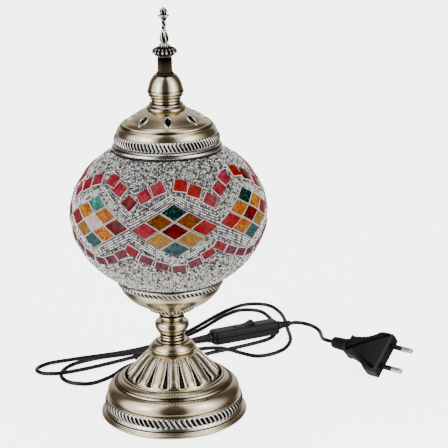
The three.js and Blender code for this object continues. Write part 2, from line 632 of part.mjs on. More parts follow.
function addSwitch() {
  const group = switchGroup();
  const wall = 1.5;
  const inner = [SWITCH_LENGTH - 2 * wall, SWITCH_WIDTH - 2 * wall];
  const cordHeight = SWITCH_HEIGHT / 2;
  const endHole = new THREE.CylinderGeometry(2.2, 2.2, SWITCH_LENGTH + 4, 12)
    .rotateZ(Math.PI / 2)
    .translate(0, 0, cordHeight);
  const screws = [[-19, 3.4], [19, -3.4]];

  const lower = cut(slab(SWITCH_LENGTH, SWITCH_WIDTH, 3, 0, SWITCH_SPLIT_Z), [
    slab(...inner, 1.6, wall, SWITCH_HEIGHT),
    endHole,
    ...screws.map(([x, y]) => rod(1.5, -1, wall + 1, 12).translate(x, y, 0)),
  ]);
  place("switch_lower_shell", lower, blackPlastic, group);

  const roof = SWITCH_HEIGHT - wall;
  const upperSplit = SWITCH_SPLIT_Z + GAP;
  const upper = cut(slab(SWITCH_LENGTH, SWITCH_WIDTH, 3, upperSplit, SWITCH_HEIGHT), [
    slab(...inner, 1.6, 0, roof),
    endHole,
    box(ROCKER_LENGTH + 1.6, ROCKER_WIDTH + 0.8, 6, 0, 0, SWITCH_HEIGHT),
    new THREE.CylinderGeometry(1.3, 1.3, SWITCH_WIDTH - 1.6, 12).translate(0, 0, ROCKER_PIVOT_Z),
  ]);
  place("switch_upper_shell", upper, blackPlastic, group);

  screws.forEach(([x, y], i) => {
    const screw = [[0, -0.2], [1.2, -0.2], [1.2, 0.8], [1.1, 0.8], [1.1, 8.6], [0, 9]];
    place(`switch_screw_${i + 1}`, turned(screw, 12).translate(x, y, 0.4), steel, group);
  });

  place("switch_contact", switchContact(), brass, group);
  const pin = new THREE.CylinderGeometry(1, 1, SWITCH_WIDTH - 2.2, 12).translate(0, 0, ROCKER_PIVOT_Z);
  place("switch_rocker_pin", pin, steel, group);
  place("switch_rocker", rockerGeometry(), blackPlastic, group);

  const lampSideRelief = reliefGeometry(RELIEF_LENGTH, 4.2, 2.4);
  const lampSide = place("switch_relief_lamp_side", lampSideRelief, blackRubber, group);
  lampSide.rotation.z = Math.PI;
  lampSide.position.set(-SWITCH_LENGTH / 2 - GAP, 0, cordHeight);
  const plugSideRelief = reliefGeometry(SWITCH_EXIT_RELIEF, 3.8, 2.4);
  const plugSide = place("switch_relief_plug_side", plugSideRelief, blackRubber, group);
  plugSide.position.set(SWITCH_LENGTH / 2 + GAP, 0, cordHeight);
  return group;
}

// A bent strip under the rocker: a foot on the lower shell's floor and a raised tongue.
function switchContact() {
  const strip = new THREE.Shape();
  strip.moveTo(-9, 1.9);
  strip.lineTo(-3, 1.9);
  strip.lineTo(-1, 3.6);
  strip.lineTo(6, 3.6);
  strip.lineTo(6, 4.2);
  strip.lineTo(-1.3, 4.2);
  strip.lineTo(-3.3, 2.5);
  strip.lineTo(-9, 2.5);
  strip.closePath();
  const options = { depth: 4, bevelEnabled: false };
  return new THREE.ExtrudeGeometry(strip, options).rotateX(Math.PI / 2).translate(0, 2, 0);
}

// The rocker at rest: tipped so that its end on the lamp's side is down.
function rockerGeometry() {
  const half = ROCKER_LENGTH / 2;
  const top = SWITCH_HEIGHT + 2 - ROCKER_PIVOT_Z;
  const outline = new THREE.Shape();
  outline.moveTo(-half, top);
  outline.quadraticCurveTo(0, top - 2.6, half, top);
  outline.lineTo(half - 0.5, 1.8);
  outline.lineTo(3, -2.2);
  outline.lineTo(-3, -2.2);
  outline.lineTo(-half + 0.5, 1.8);
  const options = { depth: ROCKER_WIDTH, bevelEnabled: false, curveSegments: 5 };
  const block = new THREE.ExtrudeGeometry(outline, options)
    .rotateX(Math.PI / 2)
    .translate(0, ROCKER_WIDTH / 2, 0);
  const bore = new THREE.CylinderGeometry(1.3, 1.3, ROCKER_WIDTH + 2, 12);
  return cut(block, [bore])
    .rotateY(-radians(ROCKER_TILT))
    .translate(0, 0, ROCKER_PIVOT_Z);
}

// ---------- plug ----------

function plugGroup() {
  const turn = new THREE.Group();
  turn.position.set(...PLUG_FACE);
  turn.rotation.z = radians(PLUG_TURN);
  const lean = new THREE.Group();
  lean.rotation.x = radians(PLUG_LEAN);
  turn.add(lean);
  lamp.add(turn);
  return lean;
}

function addPlug() {
  const group = plugGroup();
  const halfWidth = PLUG_WIDTH / 2;
  const outline = new THREE.Shape();
  outline.moveTo(0, -halfWidth);
  outline.lineTo(0, halfWidth);
  outline.lineTo(-8, halfWidth);
  outline.quadraticCurveTo(-12, halfWidth, -14.5, halfWidth - 3.2);
  outline.quadraticCurveTo(-21, 9, -PLUG_LENGTH, 7.4);
  outline.lineTo(-PLUG_LENGTH, -7.4);
  outline.quadraticCurveTo(-21, -9, -14.5, -halfWidth + 3.2);
  outline.quadraticCurveTo(-12, -halfWidth, -8, -halfWidth);
  const edge = 1.5;
  const options = {
    depth: PLUG_THICKNESS - 2 * edge, bevelSize: edge, bevelOffset: -edge, bevelThickness: edge,
    bevelSegments: 1, curveSegments: 4,
  };
  const body = new THREE.ExtrudeGeometry(outline, options).translate(0, 0, edge - PLUG_THICKNESS / 2);
  const sides = [-1, 1];
  const pinHole = (side) => new THREE.CylinderGeometry(PIN_RADIUS + 0.3, PIN_RADIUS + 0.3, 12, 12)
    .rotateZ(Math.PI / 2).translate(0, (side * PIN_SPACING) / 2, 0);
  place("plug_body", cut(body, sides.map(pinHole)), blackPlastic, group);

  sides.forEach((side, i) => {
    const pin = [
      [0, -5], [PIN_RADIUS, -5], [PIN_RADIUS, PIN_LENGTH - 1.4], [1.2, PIN_LENGTH - 0.3], [0, PIN_LENGTH],
    ];
    const geometry = turned(pin, 12).rotateY(Math.PI / 2).translate(0, (side * PIN_SPACING) / 2, 0);
    place(`plug_pin_${i + 1}`, geometry, silvered, group);
  });

  const relief = place("plug_strain_relief", reliefGeometry(PLUG_RELIEF, 5.8, 4.4), blackRubber, group);
  relief.rotation.z = Math.PI;
  relief.position.set(-PLUG_LENGTH - GAP, 0, 0);
  return group;
}

// Where a strain relief's tip lies, and a point further out along it, in the lamp's frame.
function beyondTip(group, tipX, height, distance) {
  group.updateWorldMatrix(true, false);
  const point = new THREE.Vector3(tipX + Math.sign(tipX) * distance, 0, height);
  return point.applyMatrix4(group.matrixWorld).toArray();
}

function addLead() {
  addBaseRelief();
  const switchBody = addSwitch();
  const plug = addPlug();
  const middle = SWITCH_HEIGHT / 2;
  const lampSideTip = -SWITCH_LENGTH / 2 - RELIEF_LENGTH - GAP;
  const plugSideTip = SWITCH_LENGTH / 2 + SWITCH_EXIT_RELIEF + GAP;
  const plugTip = -PLUG_LENGTH - PLUG_RELIEF - GAP;
  const toSwitch = cordPath([
    ...LAMP_CORD_ROUTE,
    beyondTip(switchBody, lampSideTip, middle, 8),
    beyondTip(switchBody, lampSideTip, middle, GAP),
  ]);
  place("cord_lamp_to_switch", cordGeometry(toSwitch, 78), blackRubber);
  const toPlug = cordPath([
    beyondTip(switchBody, plugSideTip, middle, GAP),
    ...PLUG_CORD_ROUTE,
    beyondTip(plug, plugTip, 0, 2),
    beyondTip(plug, plugTip, 0, GAP),
  ]);
  place("cord_switch_to_plug", cordGeometry(toPlug, 12), blackRubber);
  addTwistTie(toSwitch);
}

// A flat tie wound once round the lead, with its twisted ends sticking out to the side.
function addTwistTie(path) {
  const bore = CORD_RADIUS + 0.6;
  const ring = turned([[bore, -1.5], [bore + 0.5, -1.5], [bore + 0.5, 1.5], [bore, 1.5]], 10);
  const ends = new THREE.CylinderGeometry(0.8, 0.5, 11, 8).rotateZ(radians(90)).translate(-7.4, 0, 0);
  const tie = place("cord_twist_tie", join([ring, ends]), blackRubber);
  const along = path.getTangentAt(TIE_PLACE);
  const across = new THREE.Vector3(along.y, -along.x, 0).normalize();
  const upwards = new THREE.Vector3().crossVectors(along, across);
  tie.quaternion.setFromRotationMatrix(new THREE.Matrix4().makeBasis(across, upwards, along));
  tie.position.copy(path.getPointAt(TIE_PLACE));
}

addFoot();
addTorus();
addFlutedDome();
addBaseInside();
addStem();
addGallery();
addLampholder();
addBulb();
addGlobe();
addCap();
addFinial();
addLead();

export default lamp;
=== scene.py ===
"""The looks of a mosaic glass table lamp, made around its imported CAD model.

Profiles and the globe's pattern are in millimetres and degrees, and turned into metres when a
mesh is made. Azimuth 0 faces the front, -Y, and grows towards +X.
"""

import json
import math

import bmesh
import bpy
import numpy as np
from mathutils import Matrix, Vector
from mathutils.kdtree import KDTree


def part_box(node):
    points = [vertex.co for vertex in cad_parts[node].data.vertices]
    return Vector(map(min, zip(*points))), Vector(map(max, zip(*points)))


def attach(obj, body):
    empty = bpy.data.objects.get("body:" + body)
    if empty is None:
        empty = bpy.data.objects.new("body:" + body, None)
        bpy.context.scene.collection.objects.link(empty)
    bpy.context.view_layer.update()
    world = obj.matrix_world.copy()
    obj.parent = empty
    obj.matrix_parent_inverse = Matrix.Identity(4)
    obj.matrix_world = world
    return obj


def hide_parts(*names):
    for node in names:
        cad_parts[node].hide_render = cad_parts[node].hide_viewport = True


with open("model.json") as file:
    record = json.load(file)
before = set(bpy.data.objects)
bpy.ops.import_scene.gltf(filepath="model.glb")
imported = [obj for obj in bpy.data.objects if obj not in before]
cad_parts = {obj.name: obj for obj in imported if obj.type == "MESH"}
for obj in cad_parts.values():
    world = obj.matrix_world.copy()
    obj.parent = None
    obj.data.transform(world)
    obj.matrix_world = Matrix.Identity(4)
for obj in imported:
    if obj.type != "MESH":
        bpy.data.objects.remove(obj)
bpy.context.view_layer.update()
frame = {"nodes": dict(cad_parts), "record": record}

MM = 0.001
record = frame["record"]
BODY_OF = {node: body for body, nodes in record["behaviour"]["bodies"].items() for node in nodes}


def box_mm(node):
    """Lowest and highest corner of a CAD node in millimetres."""
    low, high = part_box(node)
    return [value / MM for value in low], [value / MM for value in high]


def node_radius(node):
    """Radius of a CAD node turned about the lamp's axis."""
    low, high = box_mm(node)
    return max(high[0], -low[0])


def node_span(node):
    """Lowest and highest height of a CAD node."""
    low, high = box_mm(node)
    return low[2], high[2]


# ---------- camera, stage and light ----------

def add_camera():
    distance = 1.0617
    height = 0.4616
    pitch = math.radians(16.686)
    yaw = math.radians(2.111)
    roll = math.radians(-0.983)
    forward = Vector(
        (math.sin(yaw) * math.cos(pitch), math.cos(yaw) * math.cos(pitch), -math.sin(pitch)))
    level = Vector((math.cos(yaw), -math.sin(yaw), 0))
    upright = level.cross(forward)
    across = level * math.cos(roll) + upright * math.sin(roll)
    up = upright * math.cos(roll) - level * math.sin(roll)
    data = bpy.data.cameras.new("camera")
    data.sensor_width = 36
    data.lens = 124.55
    camera = bpy.data.objects.new("camera", data)
    facing = Matrix((across, up, -forward)).transposed().to_4x4()
    camera.matrix_world = Matrix.Translation((0, -distance, height)) @ facing
    bpy.context.collection.objects.link(camera)
    bpy.context.scene.camera = camera


def add_area_light(name, place, target, size, power, mirrored=True):
    data = bpy.data.lights.new(name, "AREA")
    data.shape = "RECTANGLE"
    data.size, data.size_y = size
    data.energy = power
    light = bpy.data.objects.new(name, data)
    direction = Vector(target) - Vector(place)
    light.matrix_world = (
        Matrix.Translation(place) @ direction.to_track_quat("-Z", "Y").to_matrix().to_4x4()
    )
    light.visible_glossy = mirrored
    bpy.context.collection.objects.link(light)


WHITE = (1.0, 1.0, 1.0)
BLACK = (0.0, 0.0, 0.0)
BACKDROP_STRENGTH = 6.0
ROOM_STRENGTH = 2.05
# The room that the metal mirrors, once round it by compass direction: the back, the dark gap on
# the left, a tall soft wall of light, the dark gap where the camera stands, a narrower wall of
# light, and the dark gap on the right.
ROOM_ROUND = [
    (0.0, (0.36, 0.34, 0.31)), (0.07, (0.32, 0.30, 0.26)), (0.12, (0.050, 0.038, 0.026)),
    (0.205, (0.045, 0.034, 0.023)), (0.26, (1.0, 0.99, 0.95)), (0.40, (1.0, 0.99, 0.95)),
    (0.435, (0.020, 0.014, 0.009)), (0.56, (0.018, 0.012, 0.008)), (0.595, (0.95, 0.93, 0.88)),
    (0.695, (1.0, 0.98, 0.94)), (0.745, (0.28, 0.24, 0.19)), (0.79, (0.035, 0.026, 0.018)),
    (0.88, (0.045, 0.034, 0.024)), (0.94, (0.42, 0.40, 0.37)), (1.0, (0.36, 0.34, 0.31)),
]
# From straight down to straight up: how much of that the bright floor covers.
ROOM_FLOOR = [(0.0, WHITE), (0.03, WHITE), (0.15, BLACK), (1.0, BLACK)]
FLOOR_TINT = (0.92, 0.89, 0.82)


def add_world():
    """White behind the object, and a studio room all round for what lights and mirrors in it."""
    world = bpy.data.worlds.new("studio")
    bpy.context.scene.world = world
    world.use_nodes = True
    tree = world.node_tree
    tree.nodes.clear()
    direction = add_node(tree, "ShaderNodeTexCoord")
    parts = add_node(tree, "ShaderNodeSeparateXYZ")
    feed(tree, parts, 0, direction.outputs["Generated"])
    forwards = calculate(tree, "MULTIPLY", parts.outputs["Y"], -1.0)
    compass = calculate(tree, "ARCTAN2", parts.outputs["X"], forwards)
    around = ramp(tree, share_of(tree, compass, -math.pi, math.pi), ROOM_ROUND)
    below = ramp(tree, share_of(tree, parts.outputs["Z"], -1.0, 1.0), ROOM_FLOOR)
    room = add_node(tree, "ShaderNodeBackground", Strength=ROOM_STRENGTH)
    feed(tree, room, "Color", mix_colour(tree, below, around, FLOOR_TINT))
    backdrop = add_node(tree, "ShaderNodeBackground", Strength=BACKDROP_STRENGTH)
    feed(tree, backdrop, "Color", WHITE)
    ray = add_node(tree, "ShaderNodeLightPath")
    mix = add_node(tree, "ShaderNodeMixShader")
    feed(tree, mix, 0, ray.outputs["Is Camera Ray"])
    feed(tree, mix, 1, room.outputs[0])
    feed(tree, mix, 2, backdrop.outputs[0])
    out = add_node(tree, "ShaderNodeOutputWorld")
    feed(tree, out, "Surface", mix.outputs[0])


def add_stage():
    add_world()
    bpy.ops.mesh.primitive_plane_add(size=6, location=(0, 0, -0.0002))
    floor = bpy.context.object
    floor.name = "floor"
    floor.data.materials.append(floor_look())
    floor.visible_glossy = False
    add_area_light("softbox_left", (-1.0, -0.75, 0.55), (0, 0, 0.14), (0.55, 1.0), 5)
    add_area_light("softbox_right", (1.0, -0.7, 0.55), (0, 0, 0.14), (0.5, 1.0), 4)
    add_area_light("softbox_top", (0.1, 0.2, 1.5), (0, 0, 0.1), (1.2, 1.2), 7, mirrored=False)


# ---------- materials ----------

def new_look(name):
    """A new material, its node tree and its shader."""
    look = bpy.data.materials.new(name)
    look.use_nodes = True
    tree = look.node_tree
    shader = tree.nodes["Principled BSDF"]
    return look, tree, shader


def add_node(tree, kind, **settings):
    node = tree.nodes.new(kind)
    for key, value in settings.items():
        if key in node.inputs:
            node.inputs[key].default_value = value
        else:
            setattr(node, key, value)
    return node


def feed(tree, node, name, source):
    """Sets a node's input to a value or a colour, or wires another node's output to it."""
    if isinstance(source, bpy.types.NodeSocket):
        tree.links.new(source, node.inputs[name])
    else:
        node.inputs[name].default_value = (*source, 1) if isinstance(source, tuple) else source


def object_noise(tree, scale, detail=3.0, stretch=(1, 1, 1)):
    """Noise fixed to the object, with its features stretched along the axes."""
    place = add_node(tree, "ShaderNodeTexCoord")
    mapping = add_node(tree, "ShaderNodeMapping", Scale=stretch)
    noise = add_node(tree, "ShaderNodeTexNoise", Scale=scale, Detail=detail)
    feed(tree, mapping, "Vector", place.outputs["Object"])
    feed(tree, noise, "Vector", mapping.outputs[0])
    return noise.outputs["Fac"]


def ramp(tree, factor, stops):
    """A colour ramp of (position, colour) stops."""
    node = add_node(tree, "ShaderNodeValToRGB")
    elements = node.color_ramp.elements
    while len(elements) < len(stops):
        elements.new(0.5)
    for element, (position, colour) in zip(elements, stops):
        element.position = position
        element.color = (*colour, 1)
    tree.links.new(factor, node.inputs["Fac"])
    return node.outputs["Color"]


def calculate(tree, operation, first, second):
    node = add_node(tree, "ShaderNodeMath", operation=operation)
    feed(tree, node, 0, first)
    feed(tree, node, 1, second)
    return node.outputs[0]


def share_of(tree, value, low, high):
    """Where a value lies between two limits, from 0 to 1."""
    node = add_node(tree, "ShaderNodeMapRange")
    feed(tree, node, "From Min", low)
    feed(tree, node, "From Max", high)
    feed(tree, node, "Value", value)
    return node.outputs["Result"]


def value_range(tree, value, low, high):
    """A value from 0 to 1, turned into one between two limits."""
    node = add_node(tree, "ShaderNodeMapRange")
    feed(tree, node, "To Min", low)
    feed(tree, node, "To Max", high)
    feed(tree, node, "Value", value)
    return node.outputs["Result"]


# Places of the colour sockets among a mix node's inputs and outputs.
COLOUR_A, COLOUR_B, MIXED_COLOUR = 6, 7, 2


def mix_colour(tree, factor, first, second):
    node = add_node(tree, "ShaderNodeMix", data_type="RGBA")
    feed(tree, node, 0, factor)
    feed(tree, node, COLOUR_A, first)
    feed(tree, node, COLOUR_B, second)
    return node.outputs[MIXED_COLOUR]


def attribute(tree, name):
    return add_node(tree, "ShaderNodeAttribute", attribute_name=name).outputs["Fac"]


def bump(tree, shader, height, strength, distance=0.0002):
    node = add_node(tree, "ShaderNodeBump", Strength=strength, Distance=distance)
    feed(tree, node, "Height", height)
    feed(tree, shader, "Normal", node.outputs[0])


def metal_look(name, bright, worn, patina, roughness, spun=0.0):
    """Metal with cloudy tarnish, near-black painted shade in recesses where the mesh's patina attribute
    says, and fine lines left by spinning it."""
    look, tree, shader = new_look(name)
    feed(tree, shader, "Metallic", 1.0)
    cloud = object_noise(tree, 30, 2)
    surface = ramp(tree, cloud, [(0.25, worn), (0.75, bright)])
    fine = object_noise(tree, 900, 2)
    # Painted shade: the metal turns to its near-black shade colour where the relief says it lies deep.
    dark = attribute(tree, "patina")
    share = ramp(tree, dark, [(0.12, BLACK), (0.55, WHITE)])
    feed(tree, shader, "Base Color", mix_colour(tree, share, surface, patina))
    feed(tree, shader, "Roughness", value_range(tree, fine, roughness - 0.05, roughness + 0.07))
    lines = object_noise(tree, 1, 2, (40, 40, 3200))
    bump(tree, shader, lines if spun else fine, spun or 0.06, 0.00008)
    return look


def plain_look(name, colour, roughness, grain=900, strength=0.12, metallic=0.0, variation=0.15,
               gloss=0.5):
    """Moulded or raw stock with a fine grain and slight changes of tone."""
    look, tree, shader = new_look(name)
    feed(tree, shader, "Specular IOR Level", gloss)
    feed(tree, shader, "Metallic", metallic)
    grains = object_noise(tree, grain, 3)
    darker = tuple(channel * (1 - variation) for channel in colour)
    lighter = tuple(min(1, channel * (1 + variation)) for channel in colour)
    tone = object_noise(tree, 60, 3)
    feed(tree, shader, "Base Color", ramp(tree, tone, [(0.35, darker), (0.65, lighter)]))
    feed(tree, shader, "Roughness", value_range(tree, grains, roughness - 0.06, roughness + 0.08))
    bump(tree, shader, grains, strength)
    return look


def glass_look(name, tint, roughness):
    look, tree, shader = new_look(name)
    feed(tree, shader, "Transmission Weight", 1.0)
    feed(tree, shader, "IOR", 1.45)
    feed(tree, shader, "Base Color", tint)
    ripple = object_noise(tree, 60, 2)
    feed(tree, shader, "Roughness", value_range(tree, ripple, roughness, roughness + 0.04))
    return look


FLECK_SHARE = 0.3  # how much a fleck covers the colour under it


def tile_look(name, deep, light, fleck):
    """Cut coloured glass over foil: mottled colour with small bright flecks under a clear face."""
    look, tree, shader = new_look(name)
    feed(tree, shader, "Coat Weight", 0.05)
    feed(tree, shader, "Coat Roughness", 0.06)
    feed(tree, shader, "Specular IOR Level", 0.1)
    cloud = object_noise(tree, 260, 4)
    colour = ramp(tree, cloud, [(0.34, deep), (0.66, light)])
    cells = add_node(tree, "ShaderNodeTexVoronoi", Scale=1100.0)
    place = add_node(tree, "ShaderNodeTexCoord")
    feed(tree, cells, "Vector", place.outputs["Object"])
    spark = ramp(tree, cells.outputs["Color"], [(0.62, BLACK), (0.78, WHITE)])
    amount = calculate(tree, "MULTIPLY", spark, FLECK_SHARE)
    feed(tree, shader, "Base Color", mix_colour(tree, amount, colour, fleck))
    feed(tree, shader, "Roughness", value_range(tree, cloud, 0.12, 0.34))
    bump(tree, shader, cells.outputs["Distance"], 0.25, 0.00012)
    return look


def bead_look(name, silver, shade, metallic=0.85):
    """Silver-lined glass beads, each with its own tone, with painted shade in their holes."""
    look, tree, shader = new_look(name)
    feed(tree, shader, "Metallic", metallic)
    feed(tree, shader, "Roughness", 0.09)
    tone = attribute(tree, "tone")
    colour = ramp(tree, tone, [(0.0, shade), (0.24, tuple(0.5 * c for c in silver)), (0.48, silver)])
    # The colour of the painted shade in a bead's hole.
    hole_shade = (0.012, 0.012, 0.014)
    feed(tree, shader, "Base Color", mix_colour(tree, attribute(tree, "patina"), colour, hole_shade))
    return look


FLOOR_GLOW = 0.3  # what the floor gives off towards the object
FLOOR_GLOW_SEEN = 4.2  # and towards the camera


def floor_look():
    """A pale table top, over-lit as in a product shot where the camera looks straight at it."""
    look, tree, shader = new_look("pale_floor")
    feed(tree, shader, "Base Color", (0.9, 0.9, 0.9))
    feed(tree, shader, "Roughness", 0.7)
    feed(tree, shader, "Emission Color", WHITE)
    ray = add_node(tree, "ShaderNodeLightPath")
    glow = value_range(tree, ray.outputs["Is Camera Ray"], FLOOR_GLOW, FLOOR_GLOW_SEEN)
    feed(tree, shader, "Emission Strength", glow)
    return look


# Each metal: its bright and worn tone, the colour of its painted shade in recesses, and its roughness.
LOOKS = {
    "antique_brass": metal_look(
        "antique_brass", (0.78, 0.69, 0.52), (0.64, 0.555, 0.40), (0.022, 0.016, 0.010), 0.20, spun=0.05),
    "silvered_brass": metal_look(
        "silvered_brass", (0.86, 0.85, 0.81), (0.62, 0.60, 0.55), (0.006, 0.005, 0.004), 0.22),
    "bright_brass": metal_look(
        "bright_brass", (0.80, 0.62, 0.28), (0.66, 0.50, 0.22), (0.1, 0.07, 0.02), 0.22),
    "steel": metal_look("steel", (0.62, 0.63, 0.64), (0.48, 0.49, 0.50), (0.08, 0.08, 0.08), 0.32),
    "nickel_pins": metal_look(
        "nickel_pins", (0.78, 0.76, 0.72), (0.66, 0.64, 0.60), (0.1, 0.1, 0.1), 0.18),
    "cast_iron": plain_look("cast_iron", (0.05, 0.05, 0.052), 0.75, 500, 0.5, 0.6),
    "black_plastic": plain_look("black_plastic", (0.005, 0.005, 0.0055), 0.42, 1500, 0.15, gloss=0.28),
    "black_rubber": plain_look("black_rubber", (0.004, 0.004, 0.0045), 0.34, 700, 0.08, gloss=0.3),
    "white_ceramic": plain_look("white_ceramic", (0.80, 0.77, 0.70), 0.25, 300, 0.05),
    "felt": plain_look("felt", (0.03, 0.075, 0.045), 0.92, 2200, 0.8),
    "clear_glass": glass_look("clear_glass", (0.95, 0.98, 0.98), 0.0),
    "grout": plain_look("grout", (0.05, 0.05, 0.053), 0.55, 700, 0.6),
    "white_paste": plain_look("white_paste", (0.80, 0.80, 0.82), 0.45, 700, 0.4),
    "seed_beads": bead_look("seed_beads", (1.0, 1.0, 1.0), (0.02, 0.02, 0.024)),
    "chain_beads": bead_look("chain_beads", (0.98, 0.98, 0.98), (0.12, 0.12, 0.13)),
}

# Each glass: its deep and light colour, and its flecks.
GLASS_COLOURS = {
    "pink": ((0.14, 0.003, 0.010), (0.24, 0.012, 0.026), (0.50, 0.12, 0.16)),
    "rose": ((0.09, 0.014, 0.022), (0.15, 0.034, 0.045), (0.30, 0.13, 0.17)),
    "scarlet": ((0.10, 0.0, 0.0), (0.27, 0.0, 0.0), (0.50, 0.02, 0.015)),
    "ruby": ((0.015, 0.0, 0.0), (0.13, 0.0, 0.0005), (0.40, 0.02, 0.02)),
    "flame": ((0.26, 0.002, 0.0), (0.42, 0.20, 0.004), (0.70, 0.60, 0.15)),
    "orange": ((0.24, 0.018, 0.0), (0.34, 0.12, 0.001), (0.62, 0.55, 0.2)),
    "amber": ((0.19, 0.085, 0.014), (0.29, 0.15, 0.034), (0.5, 0.40, 0.2)),
    "brown": ((0.045, 0.008, 0.0), (0.14, 0.032, 0.0), (0.42, 0.12, 0.01)),
    "teal": ((0.018, 0.045, 0.046), (0.040, 0.085, 0.085), (0.16, 0.28, 0.30)),
    "green": ((0.0, 0.002, 0.001), (0.0, 0.014, 0.009), (0.04, 0.22, 0.17)),
    "mint": ((0.004, 0.09, 0.07), (0.04, 0.24, 0.19), (0.5, 0.75, 0.7)),
    "pearl": ((0.36, 0.24, 0.30), (0.55, 0.45, 0.50), (0.8, 0.75, 0.8)),
}
TILE_LOOKS = {name: tile_look(f"{name}_glass", *colours) for name, colours in GLASS_COLOURS.items()}


# ---------- meshes ----------

def new_object(name, points, faces, look, patina=None, tone=None, crease=38, place=None):
    """A mesh object from points in millimetres. Edges sharper than crease degrees stay crisp."""
    mesh = bpy.data.meshes.new(name)
    mesh.from_pydata((np.asarray(points) * MM).tolist(), [], faces)
    for key, values in (("patina", patina), ("tone", tone)):
        if values is not None:
            layer = mesh.attributes.new(key, "FLOAT", "POINT")
            layer.data.foreach_set("value", np.asarray(values, np.float32).ravel())
    mesh.validate()
    mesh.shade_smooth()
    mesh.set_sharp_from_angle(angle=math.radians(crease))
    if place is not None:
        mesh.transform(place)
    obj = bpy.data.objects.new(name, mesh)
    bpy.context.collection.objects.link(obj)
    for material in look if isinstance(look, (list, tuple)) else [look]:
        mesh.materials.append(material)
    return obj


def ring_faces(low, high, count):
    """Faces between two rings of points, given the number of each ring's first point."""
    return [(low + j, low + (j + 1) % count, high + (j + 1) % count, high + j) for j in range(count)]


def end_faces(total, count):
    """The two faces that close a stack of rings."""
    return [tuple(reversed(range(count))), tuple(range(total - count, total))]


def stand_for(obj, *nodes):
    """The piece rides on the nodes' body and replaces them."""
    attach(obj, BODY_OF[nodes[0]])
    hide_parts(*nodes)
    return obj


def trim(obj, body):
    """A further piece on a body, which stands for no node of its own."""
    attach(obj, body)
    return obj


def rotation(degrees, axis):
    return Matrix.Rotation(math.radians(degrees), 4, axis)


def arc(centre, radii, start, end, steps=8):
    """Profile points round an ellipse, between two angles in degrees."""
    angles = [math.radians(start + (end - start) * i / steps) for i in range(steps + 1)]
    return [(centre[0] + radii[0] * math.cos(a), centre[1] + radii[1] * math.sin(a)) for a in angles]


def through(points, steps=6):
    """A smooth line through profile points, or through points in space: a centripetal spline."""
    points = [np.array(p, float) for p in points]
    padded = [2 * points[0] - points[1], *points, 2 * points[-1] - points[-2]]
    line = []
    for before, start, end, after in zip(padded, padded[1:], padded[2:], padded[3:]):
        pairs = ((before, start), (start, end), (end, after))
        first, middle, last = [max(np.linalg.norm(b - a) ** 0.5, 1e-4) for a, b in pairs]
        leaving = (start - before) / first - (end - before) / (first + middle) + (end - start) / middle
        arriving = (end - start) / middle - (after - start) / (middle + last) + (after - end) / last
        for i in range(steps):
            t = i / steps
            line.append(
                (2 * t**3 - 3 * t**2 + 1) * start + (t**3 - 2 * t**2 + t) * leaving * middle
                + (3 * t**2 - 2 * t**3) * end + (t**3 - t**2) * arriving * middle
            )
    line.append(points[-1])
    return [tuple(p) for p in line]


def soften(outline, radius=0.35, steps=3):
    """A closed outline with its corners rounded."""
    points = [np.array(p, float) for p in outline]
    line = []
    for before, corner, after in zip([points[-1], *points], points, [*points[1:], points[0]]):
        back = before - corner
        ahead = after - corner
        lengths = np.linalg.norm(back), np.linalg.norm(ahead)
        cosine = back @ ahead / max(lengths[0] * lengths[1], 1e-9)
        if cosine < -0.97 or corner[0] < 1e-6:
            line.append(tuple(corner))
            continue
        start = corner + back / lengths[0] * min(radius, lengths[0] * 0.45)
        end = corner + ahead / lengths[1] * min(radius, lengths[1] * 0.45)
        for i in range(steps + 1):
            t = i / steps
            line.append(tuple((1 - t) ** 2 * start + 2 * t * (1 - t) * corner + t**2 * end))
    return line


def shell_outline(line, wall):
    """The closed outline of a wall of one thickness behind an outside line drawn upwards."""
    points = np.array(line, float)
    ahead = np.gradient(points, axis=0)
    ahead /= np.linalg.norm(ahead, axis=1)[:, None]
    inside = points + np.stack([-ahead[:, 1], ahead[:, 0]], 1) * wall
    return [tuple(p) for p in points] + [tuple(p) for p in inside[::-1]]


def bored(line, bore):
    """The closed outline of a turned piece with a straight bore."""
    return [(bore, line[0][1]), *line, (bore, line[-1][1])]


def turned_grid(outline, segments, relief):
    """Points, faces and painted shade of an outline turned about Z. relief(azimuth, radius, height)
    says how far out a point moves and how much shade is painted on it."""
    radius, height = np.array(outline, float).T
    poles = radius[0] < 1e-6 and radius[-1] < 1e-6
    ahead = np.stack(
        [np.roll(radius, -1) - np.roll(radius, 1), np.roll(height, -1) - np.roll(height, 1)])
    ahead /= np.maximum(np.linalg.norm(ahead, axis=0), 1e-9)
    azimuth = (np.arange(segments) * 2 * math.pi / segments)[None, :]
    radius, height = radius[:, None], height[:, None]
    out = np.zeros((len(outline), segments))
    patina = out.copy()
    if relief:
        out, patina = relief(azimuth, radius, height)
    reach = radius + out * ahead[1][:, None]
    rise = height - out * ahead[0][:, None] + 0 * azimuth
    points = np.stack([reach * np.sin(azimuth), -reach * np.cos(azimuth), rise], -1).reshape(-1, 3)
    rows = len(outline)
    faces = []
    for i in range(rows - 1 if poles else rows):
        low, high = i * segments, (i + 1) % rows * segments
        faces += ring_faces(low, high, segments)
    return points, faces, np.broadcast_to(patina, (rows, segments))


def turning(name, outline, look, segments=160, relief=None, crease=38, place=None):
    """A piece turned about Z, or about the local Z of place."""
    points, faces, patina = turned_grid(outline, segments, relief)
    obj = new_object(name, points, faces, LOOKS[look], patina, crease=crease)
    bm = bmesh.new()
    bm.from_mesh(obj.data)
    bmesh.ops.remove_doubles(bm, verts=bm.verts, dist=1e-7)
    bm.to_mesh(obj.data)
    bm.free()
    if place is not None:
        obj.data.transform(place)
    return obj


def turned_piece(node, name, outline, look, segments=160, relief=None, crease=38, place=None):
    """A turned piece that stands for one CAD node."""
    return stand_for(turning(name, outline, look, segments, relief, crease, place), node)


def window(value, low, high, fade):
    """1 between two limits, fading smoothly to 0 outside them."""
    rise = np.clip((value - low) / fade, 0, 1)
    fall = np.clip((high - value) / fade, 0, 1)
    return (rise * rise * (3 - 2 * rise)) * (fall * fall * (3 - 2 * fall))


